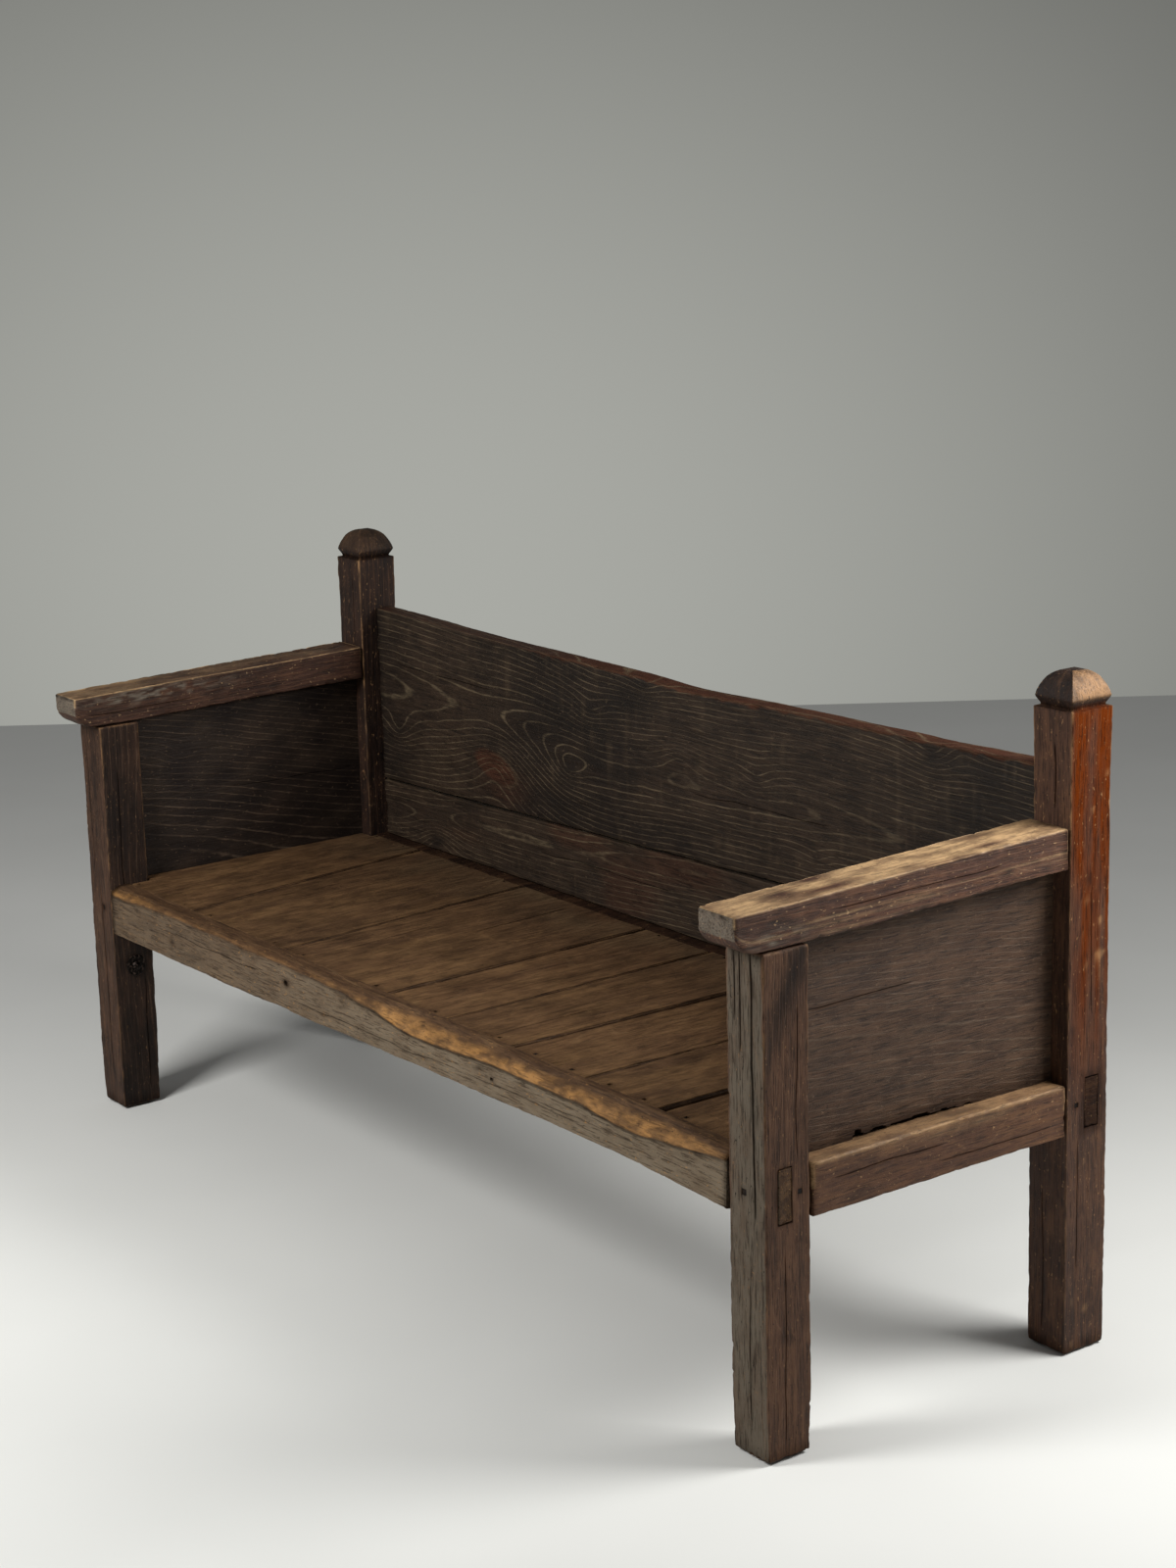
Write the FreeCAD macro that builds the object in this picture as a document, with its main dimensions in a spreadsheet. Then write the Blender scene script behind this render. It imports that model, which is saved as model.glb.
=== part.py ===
import FreeCAD, Part
import math
import os
import re
import Sketcher

# Monks bench: a pegged post-and-rail settle with loose seat boards and a plank back.
# Millimetres. X runs along the bench, Y from front to back, Z up from the floor.
# The origin is on the floor, in the middle of the bench's length and depth.

doc = FreeCAD.newDocument("monks_bench")
sheet = doc.addObject("Spreadsheet::Sheet", "sizes")
pieces = []

# The driving dimensions
SIZES = {
    # Overall
    "bench_length": 1900,  # over the outer faces of the legs
    "frame_depth": 630,  # front of the legs to the back of the posts
    "seat_height": 421,  # floor to the top of the seat
    "arm_above_seat": 290,  # seat to the top of the front legs, where the arms rest
    "back_above_seat": 434,  # seat to the top of the back at the posts
    "fit_gap": 0.2,  # clearance round a tenon, a tongue, a panel edge or a peg
    # Legs and posts
    "leg_width": 80,  # front leg, along the bench
    "leg_depth": 80,  # front leg, front to back
    "post_width": 78,  # rear post, along the bench
    "post_depth": 82,  # rear post, front to back
    "arris_radius": 4.5,  # worn rounding of the upright arrises
    "foot_chamfer": 3,  # worn bevel round each foot
    "post_above_back": 87,  # top of the back to the square shoulder under the finial
    "finial_height": 52,  # shoulder to the crown
    "finial_neck_inset": 7,  # depth of the cut under the finial cap
    "finial_neck_rise": 5,  # shoulder to the bottom of that cut
    "finial_cap_inset": 1.5,  # how far the cap's widest part lies inside the post's faces
    "finial_cap_low": 13,  # shoulder to the lower edge of the cap
    "finial_cap_high": 15.5,  # shoulder to where the cap starts to curve in
    "finial_crown_flat": 8,  # width of the blunt crown
    "finial_bulge": 9,  # how far the cap's faces swell from a straight slope
    # Arms
    "arm_overhang": 46,  # arm nose in front of the leg, which is as wide as the arm
    "arm_nose_thick": 57,  # thickness at the nose
    "arm_root_thick": 63,  # thickness at the post
    "arm_rise": 9,  # rise of the underside from the leg to the post
    "nose_radius": 38,  # rounding under the nose
    "arm_arris": 5,  # worn rounding of the top arrises
    "leg_tenon_width": 30,  # tenon on the leg's top, along the bench
    "leg_tenon_depth": 44,  # the same, front to back
    "leg_tenon_height": 32,  # the same, upwards
    "arm_tenon_width": 30,  # tenon at the arm's root, along the bench
    "arm_tenon_height": 40,  # the same, upwards
    "arm_tenon_length": 40,  # the same, into the post
    # Seat rails
    "rail_height": 83,  # front and rear rails, seat to underside
    "front_rail_thick": 62,  # front to back
    "front_strip": 40,  # top of the front rail that shows before the boards
    "rail_hollow": 8,  # rise of the front rail's underside in the middle
    "wear_1_drop": 12,  # wear of the front rail's top arris, at its left shoulder
    "wear_2_drop": 5,  # the same, one fifth along
    "wear_3_drop": 4,  # two fifths along
    "wear_4_drop": 26,  # three fifths along
    "wear_5_drop": 19,  # four fifths along
    "wear_6_drop": 9,  # at its right shoulder
    "wear_slope": 0.55,  # width of the worn edge for each millimetre of its drop
    "front_tenon_setback": 24,  # front face to the through tenon
    "front_tenon_thick": 22,  # front to back
    "rear_rail_thick": 70,  # front to back
    "rear_bearing": 14,  # ledge on the rear rail that carries the boards
    "rear_tenon_setback": 36,  # the post's front face to the through tenon
    "rear_tenon_thick": 26,  # front to back
    "rail_tenon_shoulder": 7,  # top of the rail to the top of its through tenon
    "tenon_web": 5,  # wood left between a through tenon and a stub tenon
    # Side rails and panels
    "side_rail_height": 78,  # ledge to underside
    "side_ledge_drop": 10,  # seat to the ledge outside the panel
    "side_rail_thick": 60,  # along the bench
    "side_tenon_setback": 8,  # outer face to the stub tenon
    "side_tenon_thick": 20,  # along the bench
    "side_tenon_inset": 10,  # the tenon's shoulder at the rail's top and bottom
    "panel_setback": 34,  # outer face of the frame to the panel
    "panel_thick": 14,  # thickness
    "panel_housing": 12,  # groove in the leg and the post
    "panel_floor": 26,  # groove in the side rail, below its ledge
    "panel_head": 8,  # groove in the arm, at the post
    # Seat boards, from left to right
    "board_thick": 24,  # thickness
    "board_gap": 1.5,  # open joint between two boards and beside the panels
    "last_gap": 6,  # the wide joint before the rightmost board
    "board_1_width": 261,  # at the front
    "board_2_width": 307,  # at the front
    "board_3_width": 314,  # at the front
    "board_4_width": 167,  # at the front
    "board_5_width": 173,  # at the front
    "board_6_width": 182,  # at the front
    "board_7_width": 171,  # at the front
    "board_8_width": 229,  # at the front
    "seam_1_skew": -80,  # how far the seam runs to the right at the back
    "seam_2_skew": -56,  # the same
    "seam_3_skew": -16,  # the same
    "seam_4_skew": -10,  # the same
    "seam_5_skew": 10,  # the same
    "seam_6_skew": 2,  # the same
    "seam_7_skew": -3,  # the same
    # Back boards
    "back_setback": 30,  # the post's front face to the back's face
    "back_thick": 36,  # thickness
    "back_dip": 12,  # wear of the top edge in the middle
    "back_arris": 5,  # worn rounding of the top front arris
    "lower_board_left": 105,  # height of the lower board at the left post
    "lower_board_right": 155,  # height of the lower board at the right post
    "tongue_thick": 14,  # tongue at a board's end
    "tongue_length": 15,  # into the post
    "back_end_gap": 3,  # shrinkage between a board's shoulder and the post
    # Pegs, nails and the bolt in the left leg
    "peg_radius": 5.5,  # over the corners of the whittled peg
    "peg_rise": 38,  # underside of the front rail to the pegs' axes
    "rail_peg_inset": 31,  # inner face of the leg or post to the peg
    "rail_peg_length": 54,  # driven in from the front or the back
    "side_peg_inset": 19,  # the side rail's shoulder to the peg
    "side_peg_length": 40,  # driven in from the outer face
    "nail_width": 5,  # square nail at its top
    "nail_point": 2,  # the same at its point
    "nail_length": 40,  # length
    "nail_sink": 1,  # how far the nails are sunk below the seat
    "nail_inset": 45,  # a seam to the nail beside it
    "nail_corner": 12,  # the notch round a leg or a post to the nail beside it
    "nail_front": 11,  # a board's front end to its nails
    "nail_rear": 7,  # a board's rear end to its nails
    "bolt_height": 267,  # floor to the bolt's axis
    "bolt_setback": 42,  # the leg's front face to the bolt's axis
    "bolt_radius": 5,  # shank
    "bolt_length": 45,  # shank in the leg
    "bolt_head_radius": 9,  # domed head
    "bolt_head_rise": 6,  # height of the dome
    "washer_radius": 19,  # outside
    "washer_thick": 3,  # thickness
}
for row, (name, number) in enumerate(SIZES.items(), 1):
    sheet.set(f"A{row}", name)
    sheet.set(f"B{row}", str(number))
    sheet.setAlias(f"B{row}", name)
doc.recompute()

BOARDS = 8
PEG_SIDES = 8
WEAR_STATIONS = 6

# Places that several pieces share
LEFT_FACE = "-bench_length / 2"
FRONT_FACE = "(arm_overhang - frame_depth) / 2"
POST_FRONT = f"{FRONT_FACE} + frame_depth - post_depth"
SIDE_RUN = "(frame_depth - leg_depth - post_depth)"
PANEL_INNER = "(panel_setback + panel_thick)"
SEAT_RUN = f"(bench_length - 2 * {PANEL_INNER})"
BOARD_BOTTOM = "(seat_height - board_thick)"
BOARD_LENGTH = "(frame_depth - post_depth + rear_bearing - front_strip - 2 * fit_gap)"
ARM_HEIGHT = "(seat_height + arm_above_seat)"
BACK_HEIGHT = "(seat_height + back_above_seat)"
SHOULDER = f"({BACK_HEIGHT} + post_above_back)"
POST_HEIGHT = f"({SHOULDER} + finial_height)"
RAIL_BOTTOM = "(seat_height - rail_height)"
TENON_TALL = "(rail_height - rail_tenon_shoulder)"
PEG_HEIGHT = f"({RAIL_BOTTOM} + peg_rise)"
SIDE_TOP = "(seat_height - side_ledge_drop)"
SIDE_BOTTOM = f"({SIDE_TOP} - side_rail_height)"
SIDE_TENON_TALL = "(side_rail_height - 2 * side_tenon_inset)"
LEG_STUB = "(leg_depth - front_tenon_setback - front_tenon_thick - tenon_web)"
POST_STUB = "(rear_tenon_setback - tenon_web)"
PANEL_BOTTOM = f"({SIDE_TOP} - panel_floor)"
PANEL_TOP = f"({ARM_HEIGHT} + arm_rise + panel_head)"
ARM_RUN = "(arm_overhang + frame_depth - post_depth)"
BACK_RUN = "(bench_length - 2 * post_width)"
LEG_NOTCH = f"(leg_width - {PANEL_INNER} + board_gap)"
POST_NOTCH = f"(post_width - {PANEL_INNER} + board_gap)"


def value(expression):
    """The number that an expression of the sheet's names stands for."""
    return float(sheet.evalExpression(str(expression)))


def bind(target, path, expression):
    """Ties a property to the sheet. Every name with an underscore is one of the sheet's."""
    target.setExpression(path, re.sub(r"\b([a-z]+_\w+)", r"sizes.\1", str(expression)))


def new_body(label):
    """An empty piece."""
    body = doc.addObject("PartDesign::Body", label)
    body.Label = label
    return body


def keep(piece, label):
    """Marks a finished piece as one of the bench's own and names it."""
    piece.Label = label
    pieces.append(piece)


def place(piece, across, deep, high):
    """Puts a piece's own origin where the sheet says."""
    bind(piece, "Placement.Base.x", across)
    bind(piece, "Placement.Base.y", deep)
    bind(piece, "Placement.Base.z", high)


def new_sketch(body, plane, name, level="0"):
    """A sketch on one of the body's own planes, raised to a level along that plane's axis."""
    sketch = body.newObject("Sketcher::SketchObject", name)
    own_planes = [item for item in body.Origin.OriginFeatures if item.Role == plane]
    sketch.AttachmentSupport = [(own_planes[0], "")]
    sketch.MapMode = "FlatFace"
    side = "-1" if plane == "XZ_Plane" else "1"
    bind(sketch, "AttachmentOffset.Base.z", f"{side} * ({level})")
    return sketch


def add_loop(sketch, corners, arcs=None):
    """A closed outline with every corner tied to the sheet. An arc has a radius and a side."""
    arcs = arcs or {}
    points = [FreeCAD.Vector(value(across), value(up), 0) for across, up in corners]
    first = sketch.GeometryCount
    count = len(corners)
    for index, start in enumerate(points):
        end = points[(index + 1) % count]
        if index in arcs:
            radius, side = arcs[index]
            sketch.addGeometry(arc_between(start, end, value(radius), side))
        else:
            sketch.addGeometry(Part.LineSegment(start, end))
    for index in range(count):
        here = first + index
        after = first + (index + 1) % count
        end_point = 1 if arcs.get(index, (0, 1))[1] < 0 else 2
        start_point = 2 if arcs.get((index + 1) % count, (0, 1))[1] < 0 else 1
        sketch.addConstraint(Sketcher.Constraint("Coincident", here, end_point, after, start_point))
    for index, (across, up) in enumerate(corners):
        vertex = 2 if arcs.get(index, (0, 1))[1] < 0 else 1
        for kind, expression in (("DistanceX", across), ("DistanceY", up)):
            rule = Sketcher.Constraint(kind, -1, 1, first + index, vertex, value(expression))
            bind(sketch, f"Constraints[{sketch.addConstraint(rule)}]", expression)
    for index, (radius, side) in arcs.items():
        rule = Sketcher.Constraint("Radius", first + index, value(radius))
        bind(sketch, f"Constraints[{sketch.addConstraint(rule)}]", radius)


def arc_between(start, end, radius, side):
    """The short arc from start to end that bulges to the right (1) or the left (-1) of the way."""
    chord = end - start
    left = FreeCAD.Vector(-chord.y, chord.x, 0).normalize()
    bulge = radius - math.sqrt(radius ** 2 - (chord.Length / 2) ** 2)
    through = (start + end) * 0.5 - left * (bulge * side)
    return Part.Arc(start, through, end)


def add_circle(sketch, across, up, radius):
    """A circle with its centre and radius tied to the sheet."""
    centre = FreeCAD.Vector(value(across), value(up), 0)
    ring = sketch.addGeometry(Part.Circle(centre, FreeCAD.Vector(0, 0, 1), value(radius)))
    rules = (
        (Sketcher.Constraint("DistanceX", -1, 1, ring, 3, value(across)), across),
        (Sketcher.Constraint("DistanceY", -1, 1, ring, 3, value(up)), up),
        (Sketcher.Constraint("Radius", ring, value(radius)), radius),
    )
    for rule, expression in rules:
        bind(sketch, f"Constraints[{sketch.addConstraint(rule)}]", expression)


def pad(body, name, sketch, length):
    """Grows an outline along the positive axis of its plane."""
    grown = body.newObject("PartDesign::Pad", name)
    grown.Profile = sketch
    grown.Reversed = on_front_plane(sketch)
    bind(grown, "Length", length)
    doc.recompute()


def pocket(body, name, sketch, depth):
    """Cuts an outline out along the positive axis of its plane."""
    before = body.Shape.Volume
    cut = body.newObject("PartDesign::Pocket", name)
    cut.Profile = sketch
    cut.Reversed = not on_front_plane(sketch)
    bind(cut, "Length", depth)
    doc.recompute()
    if body.Shape.Volume >= before:
        raise RuntimeError(f"{body.Label}: {name} cuts nothing")


def on_front_plane(sketch):
    """True for a sketch on the XZ plane, whose normal looks towards the front."""
    return sketch.AttachmentSupport[0][0].Role == "XZ_Plane"


def rectangle(low_across, low_up, wide, tall):
    """The corners of a rectangle, from its low corner and its sides."""
    right = f"({low_across}) + ({wide})"
    top = f"({low_up}) + ({tall})"
    return [(low_across, low_up), (right, low_up), (right, top), (low_across, top)]


def add_block(body, name, low, sides):
    """Adds a block to a body, from its low corner and its three sides."""
    sketch = new_sketch(body, "XY_Plane", f"{name}_outline", low[2])
    add_loop(sketch, rectangle(low[0], low[1], sides[0], sides[1]))
    pad(body, name, sketch, sides[2])


def cut_block(body, name, low, sides):
    """Cuts a block out of a body, from its low corner and its three sides."""
    sketch = new_sketch(body, "XY_Plane", f"{name}_outline", low[2])
    add_loop(sketch, rectangle(low[0], low[1], sides[0], sides[1]))
    pocket(body, name, sketch, sides[2])


def bore(body, name, plane, level, centre, depth):
    """A peg hole, from a level of the plane and along its positive axis."""
    sketch = new_sketch(body, plane, f"{name}_outline", level)
    add_circle(sketch, centre[0], centre[1], "peg_radius + fit_gap")
    pocket(body, name, sketch, depth)


def dress_edges(body, kind, name, chosen, property_name, amount):
    """Rounds or bevels the edges of the body's last feature that a test picks."""
    base = body.Tip
    names = [f"Edge{number + 1}" for number, edge in enumerate(base.Shape.Edges) if chosen(edge)]
    dressed = body.newObject(f"PartDesign::{kind}", name)
    dressed.Base = (base, names)
    bind(dressed, property_name, amount)
    doc.recompute()


def is_upright(edge):
    """True for an edge that runs straight up."""
    low, high = edge.Vertexes[0].Point, edge.Vertexes[-1].Point
    return abs(low.x - high.x) < 0.01 and abs(low.y - high.y) < 0.01


def mirrored(piece, label):
    """The same piece for the right-hand end of the bench."""
    copy = doc.addObject("Part::Mirroring", label)
    copy.Source = piece
    copy.Normal = FreeCAD.Vector(1, 0, 0)
    keep(copy, label)


def upright_blank(body, wide, deep, tall):
    """A squared timber that stands on the floor, with worn arrises and a worn foot."""
    add_block(body, "blank", ("0", "0", "0"), (wide, deep, tall))
    dress_edges(body, "Fillet", "worn_arrises", is_upright, "Radius", "arris_radius")
    dress_edges(body, "Chamfer", "worn_foot", lambda edge: edge.BoundBox.ZMax < 0.01,
                "Size", "foot_chamfer")


def front_leg():
    """The left front leg: blank, top tenon, mortises, panel groove and peg holes."""
    leg = new_body("front_leg")
    place(leg, LEFT_FACE, FRONT_FACE, "0")
    upright_blank(leg, "leg_width", "leg_depth", ARM_HEIGHT)
    add_block(leg, "top_tenon",
              ("(leg_width - leg_tenon_width) / 2", "(leg_depth - leg_tenon_depth) / 2", ARM_HEIGHT),
              ("leg_tenon_width", "leg_tenon_depth", "leg_tenon_height"))
    cut_block(leg, "rail_mortise",
              ("0", "front_tenon_setback - fit_gap", RAIL_BOTTOM),
              ("leg_width", "front_tenon_thick + 2 * fit_gap", f"{TENON_TALL} + fit_gap"))
    cut_block(leg, "side_mortise",
              ("side_tenon_setback - fit_gap", f"leg_depth - {LEG_STUB} - fit_gap",
               f"{SIDE_BOTTOM} + side_tenon_inset"),
              ("side_tenon_thick + 2 * fit_gap", f"{LEG_STUB} + fit_gap",
               f"{SIDE_TENON_TALL} + fit_gap"))
    cut_block(leg, "panel_groove",
              ("panel_setback - fit_gap", "leg_depth - panel_housing", PANEL_BOTTOM),
              ("panel_thick + 2 * fit_gap", "panel_housing", f"{ARM_HEIGHT} - {PANEL_BOTTOM}"))
    bore(leg, "rail_peg_hole", "XZ_Plane", "0", ("leg_width - rail_peg_inset", PEG_HEIGHT),
         "rail_peg_length + fit_gap")
    bore(leg, "side_peg_hole", "YZ_Plane", "0", ("leg_depth - side_peg_inset", PEG_HEIGHT),
         "side_peg_length + fit_gap")
    return leg


def front_legs():
    """Both front legs. Only the left one is drilled for the iron bolt."""
    leg = front_leg()
    hole = doc.addObject("Part::Cylinder", "bolt_hole")
    bind(hole, "Radius", "bolt_radius + fit_gap")
    bind(hole, "Height", "bolt_length + fit_gap")
    hole.Placement.Rotation = FreeCAD.Rotation(FreeCAD.Vector(0, 1, 0), 90)
    place(hole, f"{LEFT_FACE} + leg_width - bolt_length - fit_gap",
          f"{FRONT_FACE} + bolt_setback", "bolt_height")
    drilled = doc.addObject("Part::Cut", "front_leg_left")
    drilled.Base = leg
    drilled.Tool = hole
    keep(drilled, "front_leg_left")
    mirrored(leg, "front_leg_right")


def cut_finial(post, plane, name, face_width, through):
    """Carves the finial's side outline out of the post's top, seen along one level axis."""
    sketch = new_sketch(post, plane, f"{name}_outline", "-fit_gap")
    cap_start = "finial_cap_inset"
    cap_end = f"({face_width} - finial_crown_flat) / 2"
    chord = f"(({cap_end} - {cap_start}) ^ 2 + (finial_height - finial_cap_high) ^ 2)"
    cap_radius = f"({chord} / 4 + finial_bulge ^ 2) / (2 * finial_bulge)"
    for side in (-1, 1):
        outer = f"{face_width} / 2 + {side} * ({face_width} / 2 + fit_gap)"
        face = f"{face_width} / 2 + {side} * {face_width} / 2"
        corners = [
            (outer, SHOULDER),
            (face, SHOULDER),
            (f"{face} - {side} * finial_neck_inset", f"{SHOULDER} + finial_neck_rise"),
            (f"{face} - {side} * finial_cap_inset", f"{SHOULDER} + finial_cap_low"),
            (f"{face} - {side} * finial_cap_inset", f"{SHOULDER} + finial_cap_high"),
            (f"{face} - {side} * {cap_end}", POST_HEIGHT),
            (f"{face} - {side} * {cap_end}", f"{POST_HEIGHT} + fit_gap"),
            (outer, f"{POST_HEIGHT} + fit_gap"),
        ]
        add_loop(sketch, corners, {4: (cap_radius, side)})
    pocket(post, name, sketch, f"{through} + 2 * fit_gap")


def rear_post():
    """The left rear post, with its finial carved from the same timber."""
    post = new_body("rear_post_left")
    place(post, LEFT_FACE, POST_FRONT, "0")
    upright_blank(post, "post_width", "post_depth", POST_HEIGHT)
    cut_finial(post, "XZ_Plane", "finial_front", "post_width", "post_depth")
    cut_finial(post, "YZ_Plane", "finial_side", "post_depth", "post_width")
    cut_block(post, "rail_mortise",
              ("0", "rear_tenon_setback - fit_gap", RAIL_BOTTOM),
              ("post_width", "rear_tenon_thick + 2 * fit_gap", f"{TENON_TALL} + fit_gap"))
    cut_block(post, "side_mortise",
              ("side_tenon_setback - fit_gap", "0", f"{SIDE_BOTTOM} + side_tenon_inset"),
              ("side_tenon_thick + 2 * fit_gap", f"{POST_STUB} + fit_gap",
               f"{SIDE_TENON_TALL} + fit_gap"))
    cut_block(post, "panel_groove",
              ("panel_setback - fit_gap", "0", PANEL_BOTTOM),
              ("panel_thick + 2 * fit_gap", "panel_housing", f"{PANEL_TOP} - {PANEL_BOTTOM}"))
    cut_block(post, "arm_mortise",
              ("(post_width - arm_tenon_width) / 2 - fit_gap", "0",
               f"{ARM_HEIGHT} + arm_rise + (arm_root_thick - arm_tenon_height) / 2"),
              ("arm_tenon_width + 2 * fit_gap", "arm_tenon_length + fit_gap",
               "arm_tenon_height + fit_gap"))
    cut_block(post, "back_groove",
              ("post_width - tongue_length - fit_gap",
               "back_setback + (back_thick - tongue_thick) / 2 - fit_gap", "seat_height"),
              ("tongue_length + fit_gap", "tongue_thick + 2 * fit_gap", "back_above_seat + fit_gap"))
    bore(post, "rail_peg_hole", "XZ_Plane", "post_depth - rail_peg_length - fit_gap",
         ("post_width - rail_peg_inset", PEG_HEIGHT), "rail_peg_length + fit_gap")
    bore(post, "side_peg_hole", "YZ_Plane", "0", ("side_peg_inset", PEG_HEIGHT),
         "side_peg_length + fit_gap")
    keep(post, "rear_post_left")
    mirrored(post, "rear_post_right")


def armrest():
    """The left arm: sawn to its side outline, rounded under the nose, tenoned into the post."""
    arm = new_body("armrest_left")
    place(arm, LEFT_FACE, f"{FRONT_FACE} - arm_overhang", ARM_HEIGHT)
    sketch = new_sketch(arm, "YZ_Plane", "side_outline")
    corners = [
        ("nose_radius", "0"),
        ("arm_overhang + leg_depth", "0"),
        (ARM_RUN, "arm_rise"),
        (ARM_RUN, "arm_rise + arm_root_thick"),
        ("0", "arm_nose_thick"),
        ("0", "nose_radius"),
    ]
    add_loop(sketch, corners, {5: ("nose_radius", 1)})
    pad(arm, "side_shape", sketch, "leg_width")
    dress_edges(arm, "Fillet", "worn_top", is_arm_top_arris, "Radius", "arm_arris")
    cut_block(arm, "leg_mortise",
              ("(leg_width - leg_tenon_width) / 2 - fit_gap",
               "arm_overhang + (leg_depth - leg_tenon_depth) / 2 - fit_gap", "0"),
              ("leg_tenon_width + 2 * fit_gap", "leg_tenon_depth + 2 * fit_gap",
               "leg_tenon_height + fit_gap"))
    cut_block(arm, "panel_groove",
              ("panel_setback - fit_gap", "arm_overhang + leg_depth - panel_housing", "0"),
              ("panel_thick + 2 * fit_gap", f"{SIDE_RUN} + panel_housing", "arm_rise + panel_head"))
    add_block(arm, "root_tenon",
              ("(post_width - arm_tenon_width) / 2", ARM_RUN,
               "arm_rise + (arm_root_thick - arm_tenon_height) / 2"),
              ("arm_tenon_width", "arm_tenon_length", "arm_tenon_height"))
    keep(arm, "armrest_left")
    mirrored(arm, "armrest_right")


def is_arm_top_arris(edge):
    """True for the two long top arrises of the arm and the one across its nose."""
    box = edge.BoundBox
    return box.ZMin > value("arm_nose_thick") - 1 and box.YMin < 1


def side_rail():
    """The left side rail: stub tenons, a deep panel groove and a lower lip under the boards."""
    rail = new_body("side_rail_left")
    place(rail, LEFT_FACE, f"{FRONT_FACE} + leg_depth", SIDE_BOTTOM)
    add_block(rail, "blank", ("0", "0", "0"), ("side_rail_thick", SIDE_RUN, "side_rail_height"))
    cut_block(rail, "panel_groove",
              ("panel_setback - fit_gap", "0", "side_rail_height - panel_floor"),
              ("panel_thick + 2 * fit_gap", SIDE_RUN, "panel_floor"))
    cut_block(rail, "board_lip",
              (PANEL_INNER, "0", f"{BOARD_BOTTOM} - {SIDE_BOTTOM}"),
              (f"side_rail_thick - {PANEL_INNER}", SIDE_RUN, f"{SIDE_TOP} - {BOARD_BOTTOM}"))
    for name, start, length in (("front_tenon", f"-{LEG_STUB}", LEG_STUB),
                                ("rear_tenon", SIDE_RUN, POST_STUB)):
        add_block(rail, name, ("side_tenon_setback", start, "side_tenon_inset"),
                  ("side_tenon_thick", length, SIDE_TENON_TALL))
    peg_up = f"{PEG_HEIGHT} - {SIDE_BOTTOM}"
    bore(rail, "front_peg_hole", "YZ_Plane", "0", ("-side_peg_inset", peg_up), "side_rail_thick")
    bore(rail, "rear_peg_hole", "YZ_Plane", "0", (f"{SIDE_RUN} + side_peg_inset", peg_up),
         "side_rail_thick")
    keep(rail, "side_rail_left")
    mirrored(rail, "side_rail_right")


def side_panel():
    """The left panel: one wide board, housed on all four edges."""
    panel = new_body("side_panel_left")
    place(panel, f"{LEFT_FACE} + panel_setback",
          f"{FRONT_FACE} + leg_depth - panel_housing + fit_gap", PANEL_BOTTOM)
    add_block(panel, "board", ("0", "0", "0"),
              ("panel_thick", f"{SIDE_RUN} + 2 * (panel_housing - fit_gap)",
               f"{PANEL_TOP} - {PANEL_BOTTOM} - fit_gap"))
    keep(panel, "side_panel_left")
    mirrored(panel, "side_panel_right")


def seam(number, rear):
    """A seam's place, from the left panel's face. What the widths miss is shared by all boards."""
    if number == 0:
        return "0"
    if number == BOARDS:
        return SEAT_RUN
    all_widths = " + ".join(f"board_{count}_width" for count in range(1, BOARDS + 1))
    widths_before = " + ".join(f"board_{count}_width" for count in range(1, number + 1))
    spare = f"({SEAT_RUN} - ({all_widths})) / {BOARDS}"
    skew = f" + seam_{number}_skew" if rear else ""
    return f"({widths_before} + {number} * {spare}{skew})"


def nail_places(number, rear):
    """The two nails at one end of a board: from the left panel's face and from the front end."""
    deep = f"{BOARD_LENGTH} - nail_rear" if rear else "nail_front"
    corner = f"({POST_NOTCH if rear else LEG_NOTCH} + nail_corner)"
    left = corner if number == 1 else f"{seam(number - 1, rear)} + nail_inset"
    right = f"{SEAT_RUN} - {corner}" if number == BOARDS else f"{seam(number, rear)} - nail_inset"
    return [(left, deep), (right, deep)]


def nail_hole(across, deep):
    """The corners of a square nail hole round a nail's axis."""
    return rectangle(f"{across} - nail_width / 2 - fit_gap", f"{deep} - nail_width / 2 - fit_gap",
                     "nail_width + 2 * fit_gap", "nail_width + 2 * fit_gap")


def rail_joints(rail, upright, thick, tenon_setback, tenon_thick):
    """The two through tenons of a long rail, with their peg holes."""
    run = f"(bench_length - 2 * {upright})"
    for name, start in (("left_tenon", f"-{upright}"), ("right_tenon", run)):
        add_block(rail, name, (start, tenon_setback, "0"), (upright, tenon_thick, TENON_TALL))
    bore(rail, "left_peg_hole", "XZ_Plane", "0", ("-rail_peg_inset", "peg_rise"), thick)
    bore(rail, "right_peg_hole", "XZ_Plane", "0", (f"{run} + rail_peg_inset", "peg_rise"), thick)


def rail_nail_holes(rail, upright, deep, rear):
    """The holes in a long rail's ledge for the nails of all the boards."""
    into_rail = "(nail_length + nail_sink - board_thick + fit_gap)"
    holes = new_sketch(rail, "XY_Plane", "nail_outline", f"rail_height - board_thick - {into_rail}")
    for number in range(1, BOARDS + 1):
        for across, _ in nail_places(number, rear):
            add_loop(holes, nail_hole(f"{PANEL_INNER} - {upright} + {across}", deep))
    pocket(rail, "nail_holes", holes, into_rail)


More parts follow.
